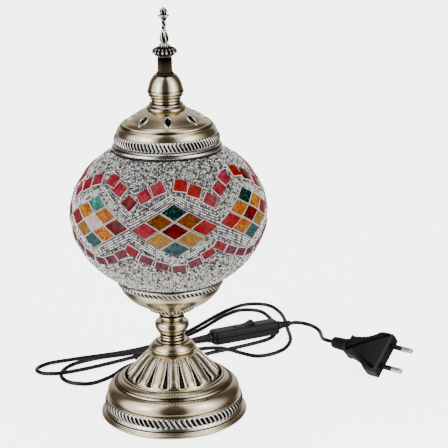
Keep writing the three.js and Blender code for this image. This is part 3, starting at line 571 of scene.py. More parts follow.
METAL_WALL = 1.2
TEETH_REACH = 8.0  # how far in from a piece's edge its teeth can reach
TOOTH_STEPS = 9  # segments to a tooth of a rope rim
FOOT_TEETH = 84
GALLERY_TEETH = 72
LEAVES = 40
CAP_TEETH = 84


def rope(count, low, high, depth, slant, sharpness=1.4):
    """Slanted rounded teeth between two heights, with painted shade in their slots."""
    def relief(azimuth, radius, height):
        turn = count * azimuth / (2 * math.pi) + slant * (height - low) / (high - low)
        across = np.abs(2 * (turn % 1) - 1)
        slot = across ** sharpness * window(height, low - 0.4, high + 0.4, 0.9)
        slot = np.where(radius < radius.max() - TEETH_REACH, 0, slot)
        # The second value is the painted shade in the slots between the teeth.
        return -depth * slot, np.clip(1.6 * slot - 0.1, 0, 1)
    return relief


def rings(*heights, width=0.35, depth=0.0):
    """Lines of painted shade round a piece, cut in a little."""
    def relief(azimuth, radius, height):
        line = sum(np.exp(-(((height - z) / width) ** 2)) for z in heights) + 0 * azimuth
        line = np.clip(line, 0, 1)
        # The second value is the painted shade along the lines.
        return -depth * line, 0.9 * line
    return relief


# ---------- foot ----------

FLUTES = 16
DOME_FOOT_Z, DOME_TOP_Z = node_span("fluted_dome")
DOME_LINE = through([
    (33.8, DOME_FOOT_Z), (31.9, 32.9), (29.2, 35.8), (25.9, 39.6), (22.6, 43.2), (19.8, 46),
    (17.3, 48.0),
    (15.2, 49.0), (13.5, DOME_TOP_Z - 0.1),
], 6)


def lobe_edge(climb):
    """Half a lobe's width as a share of its pitch: the lobes nearly meet at the top of the dome."""
    return 0.62 + 0.34 * climb


def lobe_relief(azimuth, radius, height):
    """Raised lobes, with a deep wedge between each two that is widest at the dome's foot, and painted shade
    in the wedges and in a crease along each lobe.
    """
    climb = np.clip((height - DOME_FOOT_Z) / (DOME_TOP_Z - DOME_FOOT_Z), 0, 1)
    across = np.abs((FLUTES * azimuth / (2 * math.pi) + 0.5) % 1 - 0.5) * 2
    body = window(height, DOME_FOOT_Z + 1.0, DOME_TOP_Z - 1.2, 1.6)
    wedge = np.clip((across - lobe_edge(climb)) / 0.16, 0, 1) * body
    crease = np.exp(-(((across - lobe_edge(climb) + 0.20) / 0.05) ** 2)) * body
    crown = np.cos(np.clip(across / lobe_edge(climb), 0, 1) * math.pi / 2) * body
    return 0.45 * crown - 0.25 * crease - 1.7 * wedge, np.clip(0.8 * crease + 1.4 * wedge, 0, 1)


def lobe_line(index):
    """The silvered line round a lobe: up both of its sides and round its foot."""
    foot_climb = 0.13
    half = [(lobe_edge(c) - 0.07, c) for c in np.linspace(0.9, foot_climb, 14)]
    half += [
        ((lobe_edge(foot_climb) - 0.07) * math.cos(t), foot_climb - 0.075 * math.sin(t))
        for t in np.linspace(0.2, math.pi / 2, 8)
    ]
    both = [(-across, climb) for across, climb in half]
    both += [(across, climb) for across, climb in half[-2::-1]]
    outside = np.array(DOME_LINE)
    points = []
    for across, climb in both:
        height = DOME_FOOT_Z + climb * (DOME_TOP_Z - DOME_FOOT_Z)
        radius = float(np.interp(height, outside[:, 1], outside[:, 0])) + 0.1
        azimuth = (index + across / 2) * 2 * math.pi / FLUTES
        points.append((radius * math.sin(azimuth), -radius * math.cos(azimuth), height))
    return tube(f"lobe_line_{index + 1}", points, 0.36, "silvered_brass", sides=6, closed=False)


def add_foot():
    foot = node_radius("foot_rim")
    rim_low, rim_high = node_span("foot_rim")
    bore = foot - 3.1
    rim = [
        (bore, rim_low), (foot - 0.5, rim_low), (foot, rim_low + 0.5), (foot, rim_low + 1.5),
        (foot - 0.7, rim_low + 1.9), (foot - 0.9, rim_low + 2.4), (foot - 1.5, rim_low + 2.7),
        (foot - 1.7, rim_high), (bore, rim_high),
    ]
    turned_piece("foot_rim", "foot_rim_ring", soften(rim, 0.4), "antique_brass", 224)

    pad = [(0, 0), (foot - 2, 0), (foot - 2, 1), (0, 1)]
    turned_piece("felt_pad", "felt_disc", soften(pad, 0.3), "felt")
    plate_low, plate_high = node_span("base_cover_plate")
    plate_radius = node_radius("base_cover_plate")
    plate = [(3, plate_low), (plate_radius, plate_low), (plate_radius, plate_high), (3, plate_high)]
    turned_piece("base_cover_plate", "cover_plate", soften(plate, 0.2), "steel")

    band = node_radius("foot_gadroon_band")
    low, high = node_span("foot_gadroon_band")
    teeth_low, teeth_high = low + 2.7, high - 0.9
    outside = [
        (band - 1.2, low), (band, low + 0.3), (band, teeth_low - 0.9), (band - 0.7, teeth_low - 0.4),
        *through([(band - 0.5, teeth_low), (band + 0.1, teeth_low + 2.6), (band - 0.6, teeth_high)], 7),
        (band - 1.1, high - 0.4), (band - 1.8, high), (band - 5, high),
    ]
    outline = [*outside, (band - 5, high - 1), (band - 2.6, high - 1), (band - 1.9, low)]
    gadroon = rope(FOOT_TEETH, teeth_low, teeth_high, 1.15, 0.9)
    segments = FOOT_TEETH * TOOTH_STEPS
    turned_piece(
        "foot_gadroon_band", "foot_rope_band", outline, "silvered_brass", segments, gadroon, 60)


def add_torus():
    bulge = node_radius("base_torus")
    low, _ = node_span("base_torus")
    groove_radius, groove_z = bulge - 6.4, low + 10.7
    line = [
        *through([(bulge - 1.7, low), (bulge - 0.2, low + 1.8), (bulge, low + 4),
                  (bulge - 0.8, low + 6.4),
                  (bulge - 2.8, low + 8.8), (groove_radius + 1.1, groove_z - 0.3)], 5),
        (groove_radius + 0.1, groove_z - 0.4), (groove_radius, groove_z + 0.2),
        *arc((groove_radius - 0.5, groove_z + 0.9), (0.6, 0.55), -60, 80, 5),
        (groove_radius - 1.1, groove_z + 1.25),
        *through([(groove_radius - 1.3, groove_z + 1.7), (groove_radius - 3.3, groove_z + 3.2),
                  (groove_radius - 5.2, groove_z + 4.0)], 4),
        *arc((groove_radius - 6.1, groove_z + 4.1), (0.9, 0.8), 0, 110, 5),
    ]
    lines = rings(groove_z - 0.2, groove_z + 1.35, groove_z + 4.1, width=0.26)
    turned_piece("base_torus", "foot_bulge", shell_outline(line, 1.1), "antique_brass", 224, lines)


def add_fluted_dome():
    inside = [(13.5, DOME_TOP_Z - 2.4), (20.2, 42), (27.6, 33.4), (29.8, DOME_FOOT_Z)]

    def relief(azimuth, radius, height):
        out, dark = lobe_relief(azimuth, radius, height)
        hidden = np.arange(len(radius))[:, None] >= len(DOME_LINE)
        return np.where(hidden, 0, out), np.where(hidden, 0, dark)

    dome = turning(
        "fluted_skirt", [*DOME_LINE, *inside], "antique_brass", FLUTES * 36, relief, crease=70)
    stand_for(dome, "fluted_dome")
    for index in range(FLUTES):
        trim(lobe_line(index), "root")


# ---------- stem and gallery ----------

STEM_BORE = 5.3


def stem_piece(node, name, line, segments, grooves):
    turned_piece(node, name, bored(line, STEM_BORE), "antique_brass", segments, grooves)


def add_stem():
    low, high = node_span("lower_cup")
    cup = node_radius("lower_cup")
    line = [
        (14, low), (cup - 0.9, low), *arc((cup - 0.9, low + 1), (0.9, 1), -70, 60, 6),
        *through([(cup - 0.9, low + 2.0), (15.6, 53.2), (13.9, 55.2), (11.6, 56.3)], 5),
        (11.2, 56.4), (11.1, 56.9), (9.4, high),
    ]
    stem_piece("lower_cup", "lower_cup_turning", line, 128, rings(56.4))

    low, high = node_span("lower_neck_ring")
    line = [
        (8.2, low), *arc((8.1, low + 1.2), (1.1, 1.0), -80, 80, 7), (7.9, low + 2.4),
        *arc((8.2, low + 3.3), (1.1, 0.75), -80, 80, 7), (8, high),
    ]
    stem_piece(
        "lower_neck_ring", "lower_rings", line, 112, rings(low + 0.1, low + 2.35, high, width=0.3))

    low, high = node_span("stem_knob")
    knob = node_radius("stem_knob")
    line = through(
        [(8.4, low), (10.1, low + 0.9), (11.0, low + 2.2), (11.3, low + 3.3), (12.1, low + 4.4),
         (knob, low + 6.6), (knob - 0.3, low + 8.3), (11.2, low + 9.4), (9, high)],
        6,
    )
    stem_piece("stem_knob", "knob_turning", line, 128, rings(low + 0.2, low + 3.2))

    low, high = node_span("upper_neck_ring")
    line = [
        (7.6, low), (7.5, low + 0.8), *arc((8.2, low + 2.1), (1.0, 0.9), -75, 75, 7),
        (8.0, low + 3.1), (8.3, high),
    ]
    stem_piece("upper_neck_ring", "upper_rings", line, 112, rings(low + 0.5, low + 3.1))

    low, high = node_span("upper_cup")
    line = through([(8.8, low), (10.3, low + 1.1), (11.1, low + 2.2), (11.5, high)], 5)
    stem_piece("upper_cup", "upper_cup_turning", line, 112, rings(high))


def add_gallery():
    low, high = node_span("gallery_leaf_ring")
    leaf = node_radius("gallery_leaf_ring")
    line = through(
        [(12.6, low), (15.6, low + 0.7), (17.2, low + 1.8), (leaf, low + 3), (16.4, high)], 5)
    leaves = rope(LEAVES, low + 0.5, high - 0.5, 0.8, 0.35, 1.6)
    outline = bored(line, STEM_BORE)
    segments = LEAVES * TOOTH_STEPS
    turned_piece("gallery_leaf_ring", "leaf_ring", outline, "silvered_brass", segments, leaves, 60)

    low, high = node_span("gallery_bowl")
    line = through(
        [(STEM_BORE, low), (10, low), (16.4, low), (18.4, low + 0.3), (24, low + 2.5), (29.4, low + 6.1),
         (33.4, low + 10), (35.7, low + 13.2), (36.6, high)],
        6,
    )
    turned_piece("gallery_bowl", "bowl", shell_outline(line, METAL_WALL), "antique_brass", 192)

    low, high = node_span("gallery_rope_rim")
    edge = node_radius("gallery_rope_rim")
    outline = [
        (edge - 2.3, low), (edge - 1.2, low),
        *through([(edge - 0.6, low + 0.4), (edge + 0.1, low + 1.6), (edge, low + 2.7)], 5),
        (edge - 0.5, low + 3.0), (edge - 0.1, low + 3.4), (edge - 0.2, high - 0.2), (edge - 0.7, high),
        (edge - 2.3, high),
    ]
    teeth = rope(GALLERY_TEETH, low + 0.1, low + 2.9, 1.0, 0.7)
    segments = GALLERY_TEETH * TOOTH_STEPS
    turned_piece("gallery_rope_rim", "gallery_rope", outline, "silvered_brass", segments, teeth, 60)


# ---------- cap and finial ----------

NECK_BORE = 3.4
VENTS = 8
VENT_RADIUS = 23.5
VENT_LENGTH = 9.4
VENT_WIDTH = 4.2
VENT_TURN = 0.06  # of a vent's spacing, from straight ahead to the first vent
CAP_LINE = through([
    (30.4, 218.8), (28.6, 220.4), (26.3, 221.9), (23.2, 224.1), (20, 226), (17.1, 227.4), (14.2, 228.3),
])


def cap_height(radius):
    """Height of the cap's upper surface at a radius."""
    line = np.array(CAP_LINE)[::-1]
    return float(np.interp(radius, line[:, 0], line[:, 1]))


def pointed_oval(length, width, steps=12):
    """Two bowed sides that meet in a point at each end, as (across, along) points."""
    side = []
    for i in range(steps):
        t = i / steps
        side.append((2 * t * (1 - t) * width, (t - 0.5) * length))
    return side + [(-across, -along) for across, along in side]


def vent_place(turn, across, along):
    """A point on the cap's surface, from a vent's middle."""
    radius = VENT_RADIUS - along * 0.87
    azimuth = turn + across / radius
    return Vector((radius * math.sin(azimuth), -radius * math.cos(azimuth), cap_height(radius)))


def tube(name, points, radius, look, sides=8, closed=True):
    """A round bar along points in millimetres."""
    points = [Vector(p) for p in points]
    count = len(points)
    places = []
    for i, point in enumerate(points):
        ahead = points[(i + 1) % count if closed else min(i + 1, count - 1)]
        behind = points[i - 1 if closed else max(i - 1, 0)]
        along = (ahead - behind).normalized()
        side = along.cross(Vector((0, 0, 1)))
        side = side.normalized() if side.length > 1e-3 else Vector((1, 0, 0))
        over = side.cross(along)
        for j in range(sides):
            angle = 2 * math.pi * j / sides
            places.append(point + (side * math.cos(angle) + over * math.sin(angle)) * radius)
    faces = []
    for i in range(count if closed else count - 1):
        low, high = i * sides, (i + 1) % count * sides
        faces += ring_faces(low, high, sides)
    if not closed:
        faces += end_faces(count * sides, sides)
    return new_object(name, places, faces, LOOKS[look], crease=60)


def vent_cutter(turn):
    """A prism through the cap's wall with a vent's outline."""
    ring = [vent_place(turn, across, along) for across, along in pointed_oval(VENT_LENGTH, VENT_WIDTH)]
    slope = Vector((0.47 * math.sin(turn), -0.47 * math.cos(turn), 0.88))
    count = len(ring)
    places = [p - slope * 3 for p in ring] + [p + slope * 3 for p in ring]
    faces = ring_faces(0, count, count) + end_faces(2 * count, count)
    return new_object("vent_cutter", places, faces, LOOKS["antique_brass"])


def carve(obj, cutters):
    """Cuts closed meshes out of a closed mesh, and removes the cutters."""
    bpy.context.view_layer.objects.active = obj
    for cutter in cutters:
        boolean = obj.modifiers.new("cut", "BOOLEAN")
        boolean.object = cutter
        boolean.solver = "EXACT"
        bpy.ops.object.modifier_apply(modifier=boolean.name)
        bpy.data.objects.remove(cutter)
    obj.data.set_sharp_from_angle(angle=math.radians(38))


def add_cap():
    low, high = node_span("cap_dome")
    line = [
        (35.6, low), *through([(35.4, low + 0.6), (34.2, 215.6), (33.0, 217.0)], 5),
        *arc((32.3, 217.3), (0.6, 0.55), -30, 120, 5), (31.8, 217.6),
        *arc((31.1, 218.5), (0.6, 0.55), -30, 120, 5), (30.6, 218.6), *CAP_LINE, (13.3, 228.6),
        (13, high),
    ]
    lines = rings(217.75, width=0.3)
    dome = turning("cap_shell", shell_outline(line, METAL_WALL), "antique_brass", 192, lines)
    turns = [(i + VENT_TURN) * 2 * math.pi / VENTS for i in range(VENTS)]
    carve(dome, [vent_cutter(turn) for turn in turns])
    stand_for(dome, "cap_dome")
    for i, turn in enumerate(turns):
        outline = pointed_oval(VENT_LENGTH + 1, VENT_WIDTH + 1)
        lip = [vent_place(turn, across, along) for across, along in outline]
        bead = tube(f"vent_lip_{i + 1}", lip, 0.62, "silvered_brass")
        trim(bead, "cap")

    low, high = node_span("cap_rope_rim")
    edge = node_radius("cap_rope_rim")
    outline = [
        (edge - 0.9, low),
        *through(
            [(edge - 0.2, low + 0.7), (edge, low + 2.2), (edge, low + 3.4), (edge - 0.9, low + 5.4)], 5),
        (edge - 1.6, high - 0.5), (edge - 2.1, high), (edge - 3.4, high), (edge - 2.3, low + 1.4),
        (edge - 2.1, low),
    ]
    teeth = rope(CAP_TEETH, low + 0.5, low + 6.0, 1.25, 0.85)
    segments = CAP_TEETH * TOOTH_STEPS
    turned_piece("cap_rope_rim", "cap_rope", outline, "silvered_brass", segments, teeth, 60)

    low, high = node_span("cap_locating_skirt")
    skirt = [
        (29.6, low), (30.8, low), (30.8, high - 1.2), (33.6, high - 1.2), (33.6, high), (29.6, high)]
    turned_piece("cap_locating_skirt", "cap_skirt", soften(skirt, 0.3), "antique_brass")

    low, high = node_span("cap_neck")
    neck = [
        (14, low), (13.7, low + 1.0), (12.6, low + 1.6), (12.1, low + 2.4),
        *arc((11.3, low + 3.0), (0.7, 0.5), -60, 90, 5),
        (10.4, low + 3.7), (10.2, low + 4.6), (10.2, low + 5.5),
        *arc((10.1, low + 6.7), (0.7, 0.8), -70, 80, 6), (9.6, high),
    ]
    lines = rings(low + 1.3, low + 3.7, low + 5.8, high, width=0.32)
    turned_piece("cap_neck", "cap_neck_turning", bored(neck, NECK_BORE), "antique_brass", 128, lines)


STUD_BORE = 2.4
COLUMN_SIDES = 6
CROWN_BEADS = 18
BEAD_STEPS = 12  # segments to a bead of the crown


def add_finial():
    low, high = node_span("finial_bell")
    bell = node_radius("finial_bell")
    line = [
        (10.4, low), *arc((11.0, low + 0.8), (1.2, 0.7), -60, 50, 5),
        *through([(bell - 0.7, low + 1.7), (bell, low + 3.2), (bell - 0.25, low + 4.4),
                  (bell - 0.8, low + 6.6), (10.9, low + 10.2), (9.4, low + 13), (8.6, high - 0.7)], 5),
        (8.1, high),
    ]
    lines = rings(low + 1.55, low + 4.3, high - 0.2, width=0.28)
    outline = bored(line, STUD_BORE)
    turned_piece("finial_bell", "finial_bell_turning", outline, "antique_brass", 144, lines)

    low, high = node_span("finial_column")
    column = 5.1
    shaft = [
        (STUD_BORE, low), (6.5, low), (6.5, low + 0.9), (column + 0.3, low + 2.2), (column, low + 3.4),
        (column, high), (STUD_BORE, high),
    ]
    lines = rings(low + 1.6, high, width=0.5)
    half_side = rotation(180 / COLUMN_SIDES, "Z")
    turned_piece(
        "finial_column", "finial_column_facets", soften(shaft, 0.3), "antique_brass", COLUMN_SIDES,
        lines, 20,
        half_side)

    low, high = node_span("finial_disc")
    disc = node_radius("finial_disc")
    line = [
        (0, low), (4.8, low), *through([
            (5.2, low + 0.4), (6.8, low + 1.4), (8.7, low + 2.9), (disc + 0.1, low + 4.2),
            (8.6, low + 5.2),
            (6.6, low + 6.5), (4.4, low + 7.7), (3.0, high - 0.4)], 5), (0, high),
    ]

    def lobes(azimuth, radius, height):
        out, dark = rope(CROWN_BEADS, low + 0.6, low + 8.6, 0.9, 0.0, 1.3)(azimuth, radius, height)
        _, row_dark = rings(low + 2.3, low + 5.0, low + 7.0, width=0.45)(azimuth, radius, height)
        return out - 0.5 * row_dark, np.clip(dark + row_dark, 0, 1)

    segments = CROWN_BEADS * BEAD_STEPS
    turned_piece("finial_disc", "finial_crown", line, "silvered_brass", segments, lobes, 60)

    low, high = node_span("finial_vase")
    vase = node_radius("finial_vase")
    line = [
        (0, low),
        *through([(2.5, low + 0.1), (vase, low + 1.6), (vase + 0.2, low + 3), (vase - 0.1, low + 4.8),
                            (2.4, low + 7.2), (1.8, high - 0.2)], 6),
        (0, high),
    ]
    petals = rope(6, low + 0.4, high - 1.0, 0.55, 0.5, 1.3)
    turned_piece("finial_vase", "finial_vase_turning", line, "silvered_brass", 96, petals, 60)

    low, high = node_span("finial_spire")
    line = [
        (0, low), (1.8, low),
        *through(
            [(1.7, low + 0.6), (1.5, low + 3), (1.6, low + 6), (2.2, low + 7.8), (3.0, low + 8.9)], 5),
        *arc((3.3, low + 9.7), (0.7, 0.6), -70, 110, 6), (2.2, low + 10.9),
        *through([(2.1, low + 11.3), (2.8, low + 12.5), (2.3, low + 13.8), (1.2, low + 15),
                  (0.5, high - 0.4)], 5),
        (0, high),
    ]

    def spire_relief(azimuth, radius, height):
        twist = rope(3, low + 0.5, low + 8, 0.3, 2.0, 1.0)(azimuth, radius, height)
        knob = rope(7, low + 11, high - 1.5, 0.4, 0.3, 1.2)(azimuth, radius, height)
        lines = rings(low + 8.0, low + 10.9, width=0.35)(azimuth, radius, height)
        return twist[0] + knob[0], np.clip(twist[1] + knob[1] + lines[1], 0, 1)

    turned_piece("finial_spire", "finial_spire_turning", line, "silvered_brass", 96, spire_relief, 60)


# ---------- lampholder and bulb ----------

THREAD_PITCH = 2.82
GRIP_RIBS = 40


def thread(low, high, depth, skip):
    """A round screw thread between two heights, on the outline's outer points."""
    def relief(azimuth, radius, height):
        wave = np.cos(2 * math.pi * height / THREAD_PITCH - azimuth)
        shown = window(height, low, high, 1.0) * (radius > skip)
        # The second value is painted shade in the thread's roots.
        return depth * (wave - 1) * shown, 0.25 * shown * (1 - wave) / 2
    return relief


def add_bulb():
    low, high = node_span("bulb_screw_cap")
    cap = node_radius("bulb_screw_cap")
    wall = [(cap, low + 2.1 + 0.4 * i) for i in range(44)]
    line = [(0, low), (3.6, low), (5.6, low + 1.2), *wall, (cap, high), (cap - 1.6, high),
        (cap - 1.6, low + 2.7), (0, low + 2.7)]
    screw = thread(low + 2, high - 1.5, 0.35, cap - 0.6)
    turned_piece("bulb_screw_cap", "bulb_screw_shell", line, "silvered_brass", 96, screw)

    low, high = node_span("bulb_glass")
    bulb = node_radius("bulb_glass")
    middle = high - bulb
    neck = [(6, low), (6, low + 6.8), (8.6, low + 10.2), (13, low + 14.6)]
    line = [*through([*neck, *arc((0, middle), (bulb, bulb), -45, 86, 12)], 3), (0, high)]
    inside = [(r - 0.7 * r / bulb, middle + (z - middle) * 0.97) for r, z in line[-2::-1]]
    outline = [*line, (0, high - 0.7), *inside]
    turned = outline[len(line):] + outline[:len(line)]
    turned_piece("bulb_glass", "bulb_envelope", turned, "clear_glass", 96, crease=60)


def add_lampholder():
    low, high = node_span("lampholder_body")
    holder = node_radius("lampholder_body")
    body = [
        (holder, low), (holder, high - 2), (holder - 0.7, high), (9.8, high), (9.8, high - 1.4),
        (holder - 1.6, high - 2.4), (holder - 1.6, low),
    ]
    grip = rope(GRIP_RIBS, low + 3, low + 14, 0.5, 0)
    turned_piece("lampholder_body", "lampholder_shell", soften(body, 0.3), "black_plastic", 96, grip)

    low, high = node_span("lampholder_cap")
    cap = [
        (STEM_BORE, low), (8.4, low), (9.1, low + 3.4), (holder - 0.7, low + 6.4),
        (holder, low + 8), (holder, high),
        (holder - 1.6, high), (holder - 1.6, low + 8.3), (8.6, low + 5), (STEM_BORE, low + 1.6),
    ]
    turned_piece("lampholder_cap", "lampholder_cover", soften(cap, 0.3), "black_plastic", 96)

    low, high = node_span("lampholder_thread_sleeve")
    sleeve = node_radius("lampholder_thread_sleeve")
    wall = [(sleeve, low + (high - low) * i / 50) for i in range(51)]
    outline = [*wall, (sleeve - 0.6, high), (sleeve - 0.6, low)]
    screw = thread(low + 1, high - 1, 0.2, sleeve - 0.3)
    turned_piece("lampholder_thread_sleeve", "lampholder_thread", outline, "bright_brass", 96, screw)


# ---------- globe ----------

MOSAIC_EDGE_RADIUS = 38.9
BEAD_RELIEF = 1.15  # how far the grout lies below the mosaic's outer surface
GROUPS = 7  # the pattern repeats round the globe
GROUP_TURN = 360 / GROUPS
FIRST_GROUP = 3.0  # azimuth of the group that faces the front

GLOBE_LOW, GLOBE_HIGH = node_span("globe_mosaic")
GLOBE_CENTRE_Z = (GLOBE_LOW + GLOBE_HIGH) / 2
GLOBE_RADIUS = 70.2
GLOBE_HALF_HEIGHT = (GLOBE_HIGH - GLOBE_LOW) / 2 / math.sqrt(
    1 - (MOSAIC_EDGE_RADIUS / GLOBE_RADIUS) ** 2)
EDGE_LATITUDE = math.degrees(math.acos(MOSAIC_EDGE_RADIUS / GLOBE_RADIUS))
MM_PER_DEGREE = math.radians(1) * GLOBE_RADIUS  # along the equator
MM_PER_LATITUDE = 1.05


def on_globe(azimuth, latitude, lift=0.0):
    """Points over the mosaic's outer surface, in millimetres, and the normals there."""
    turn = np.radians(np.asarray(azimuth, float))
    rise = np.radians(np.asarray(latitude, float))
    unit = np.stack([np.cos(rise) * np.sin(turn), -np.cos(rise) * np.cos(turn), np.sin(rise)], -1)
    sizes = np.array([GLOBE_RADIUS, GLOBE_RADIUS, GLOBE_HALF_HEIGHT])
    normal = unit / sizes
    normal /= np.linalg.norm(normal, axis=-1, keepdims=True)
    lift = np.asarray(lift, float)[..., None]
    return unit * sizes + np.array([0, 0, GLOBE_CENTRE_Z]) + normal * lift, normal


def tile_corners(azimuth, latitude, along, across, lean):
    """Corners of a rectangular tile, its length leaning by degrees from level."""
    shrink = math.cos(math.radians(latitude)) * MM_PER_DEGREE
    cosine, sine = math.cos(math.radians(lean)), math.sin(math.radians(lean))
    corners = []
    for u, v in ((-1, -1), (1, -1), (1, 1), (-1, 1)):
        x = u * along * cosine - v * across * sine
        y = u * along * sine + v * across * cosine
        corners.append((azimuth + x / shrink, latitude + y / MM_PER_LATITUDE))
    return corners


DIAMOND_HALF_TURN = GROUP_TURN / 6
DIAMOND_HALF_RISE = 6.3
DIAMOND_ROW_LATITUDE = 6.6


def diamond_corners(azimuth, latitude, scale=0.90):
    turn, rise = DIAMOND_HALF_TURN * scale, DIAMOND_HALF_RISE * scale
    return [(azimuth - turn, latitude), (azimuth, latitude - rise), (azimuth + turn, latitude),
        (azimuth, latitude + rise)]


# Each group's diamonds: steps round and up from its middle, and their glass in three colourings.
DIAMONDS = [
    (0, 2, "green", "green", "mint"), (-1, 1, "brown", "orange", "flame"),
    (1, 1, "brown", "flame", "orange"),
    (0, 0, "ruby", "ruby", "pearl"), (-1, -1, "amber", "orange", "amber"),
    (1, -1, "amber", "amber", "flame"),
    (0, -2, "teal", "teal", "teal"), (-2, 0, "pink", "scarlet", "pink"),
    (2, 0, "scarlet", "pink", "ruby"),
]
COLOURINGS = (0, 1, 2, 0, 1, 0, 2)  # which colouring each group has, going round from the front

# The zigzags' tiles: degrees round from the group's middle, latitude, lean, and glass.
UPPER_TILES = [
    (5.6, 37.2, -12, "scarlet", "scarlet", "pink"), (14.4, 32.0, -26, "scarlet", "ruby", "pink"),
    (23.6, 24.0, -36, "pink", "pink", "ruby"), (32.6, 29.6, 34, "pink", "pink", "pink"),
    (41.3, 35.2, 26, "pink", "pink", "pink"),
]
LOWER_TILES = [
    (-25.0, -8.8, -30, "pink", "pink", "pink"), (-16.8, -14.8, -26, "rose", "rose", "rose"),
    (-8.0, -19.6, -18, "rose", "rose", "rose"), (2.2, -22.2, 4, "rose", "rose", "rose"),
    (11.6, -18.4, 24, "rose", "rose", "rose"), (19.4, -12.6, 30, "pink", "ruby", "rose"),
]
UPPER_TILE_HALF = (4.5, 4.3)
LOWER_TILE_HALF = (4.7, 3.1)


# How far each group was laid above its even place by hand, in degrees.
GROUP_RISE = (0.0, 3.2, 1.4, -0.6, 0.4, -0.3, 1.3)


def laid(azimuth, latitude):
    """A latitude with the pattern's unevenness, which changes smoothly from group to group."""
    place = (np.asarray(azimuth, float) - FIRST_GROUP) / GROUP_TURN
    group = np.floor(place).astype(int)
    share = (1 - np.cos((place - group) * math.pi)) / 2
    rise = np.array(GROUP_RISE)
    return latitude + rise[group % GROUPS] * (1 - share) + rise[(group + 1) % GROUPS] * share


def mosaic_tiles():
    """Every tile's corners in degrees, and its glass."""
    tiles = []
    for group in range(GROUPS):
        middle = FIRST_GROUP + group * GROUP_TURN
        colouring = COLOURINGS[group]
        for turn, rise, *glass in DIAMONDS:
            azimuth = middle + turn * DIAMOND_HALF_TURN
            latitude = DIAMOND_ROW_LATITUDE + rise * DIAMOND_HALF_RISE
            tiles.append((diamond_corners(azimuth, float(laid(azimuth, latitude))), glass[colouring]))
        for rows, half in ((UPPER_TILES, UPPER_TILE_HALF), (LOWER_TILES, LOWER_TILE_HALF)):
            for turn, latitude, lean, *glass in rows:
                azimuth = middle + turn
                corners = tile_corners(azimuth, float(laid(azimuth, latitude)), *half, lean)
                tiles.append((corners, glass[colouring]))
    return tiles


def add_tile(parts, corners, inset, top, bottom, material):
    """A flat tile with a bevelled edge, added to lists of points, faces and materials."""
    points, faces, materials = parts
    flat = np.array(corners, float)
    ring, _ = on_globe(flat[:, 0], flat[:, 1])
    middle = flat.mean(axis=0)
    centre, normal = on_globe(middle[0], middle[1])
    ring = ring - ((ring - centre) @ normal)[:, None] * normal
    start = len(points)
    levels = [(0.0, bottom), (0.0, top - 0.45), (inset * 0.35, top - 0.12), (inset, top)]
    for inward, lift in levels:
        size = 1 - inward / np.linalg.norm(ring - centre, axis=1).min()
        points.extend((centre + (ring - centre) * size + normal * lift).tolist())
    count = len(corners)
    for level in range(len(levels) - 1):
        low, high = start + level * count, start + (level + 1) * count
        faces.extend(ring_faces(low, high, count))
    faces.append(tuple(start + (len(levels) - 1) * count + j for j in range(count)))
    faces.append(tuple(start + j for j in reversed(range(count))))
    materials.extend([material] * ((len(levels) - 1) * count + 2))


def widened(corners, distance):
    """A tile's corners moved out from its middle by about a distance in millimetres."""
    flat = np.array(corners, float)
    middle = flat.mean(axis=0)
    scale = np.array([math.cos(math.radians(middle[1])) * MM_PER_DEGREE, MM_PER_LATITUDE])
    reach = (flat - middle) * scale
    edge = np.abs(np.cross(reach[1] - reach[0], reach[0])) / np.linalg.norm(reach[1] - reach[0])
    return [tuple(p) for p in middle + reach * (1 + distance / edge) / scale]


def add_tiles(tiles):
    names = list(TILE_LOOKS)
    glass = ([], [], [])
    paste = ([], [], [])
    for corners, colour in tiles:
        add_tile(glass, corners, 0.55, 0.15, -1.6, names.index(colour))
        add_tile(paste, widened(corners, 0.3), 0.3, -0.45, -1.6, 0)
    colours = list(TILE_LOOKS.values())
    tesserae = new_object("mosaic_tiles", glass[0], glass[1], colours, crease=25)
    for polygon, index in zip(tesserae.data.polygons, glass[2]):
        polygon.material_index = index
    trim(tesserae, "root")
    setting = new_object("tile_paste", paste[0], paste[1], LOOKS["white_paste"], crease=50)
    trim(setting, "root")


def zigzag(middle_latitude, valley_latitude, steps=240):
    """A line right round the globe, at one latitude in each group's middle and another between."""
    turn = np.arange(steps * GROUPS) * 360 / (steps * GROUPS)
    share = np.abs(((turn - FIRST_GROUP) / GROUP_TURN + 0.5) % 1 - 0.5) * 2
    return turn, laid(turn, middle_latitude + (valley_latitude - middle_latitude) * share)


def along_line(turn, latitude, pitch):
    """Places a pitch apart along a line on the globe, in degrees."""
    points, _ = on_globe(turn, latitude)
    steps = np.linalg.norm(np.roll(points, -1, axis=0) - points, axis=1)
    length = np.concatenate([[0], np.cumsum(steps)])
    count = round(length[-1] / pitch)
    wanted = np.arange(count) * length[-1] / count
    closed_turn = np.append(turn, turn[0] + 360)
    closed_latitude = np.append(latitude, latitude[0])
    return np.interp(wanted, length, closed_turn), np.interp(wanted, length, closed_latitude)


SEED_PITCH = 1.5
STRING_PITCH = 1.5
STRING_SPACING = 1.75
OUTLINE_TOP = DIAMOND_ROW_LATITUDE + 3 * DIAMOND_HALF_RISE
OUTLINE_BOTTOM = DIAMOND_ROW_LATITUDE - 3 * DIAMOND_HALF_RISE


def bead_strings():
    """The ball-chain strings that follow the zigzags, as (azimuth, latitude) arrays."""
    lines = []
    for i in range(4):
        away = 1.3 + STRING_SPACING * i
        lines.append(zigzag(OUTLINE_TOP + away, DIAMOND_ROW_LATITUDE + away * 1.12))
        lines.append(zigzag(OUTLINE_BOTTOM - away, DIAMOND_ROW_LATITUDE - away * 1.12))
    lines.append(zigzag(OUTLINE_TOP + 18.3, DIAMOND_ROW_LATITUDE + 24.2))
    lines.append(zigzag(OUTLINE_BOTTOM - 15.2, DIAMOND_ROW_LATITUDE - 20.2))
    strings = [along_line(turn, latitude, STRING_PITCH) for turn, latitude in lines]
    return np.concatenate([s[0] for s in strings]), np.concatenate([s[1] for s in strings])


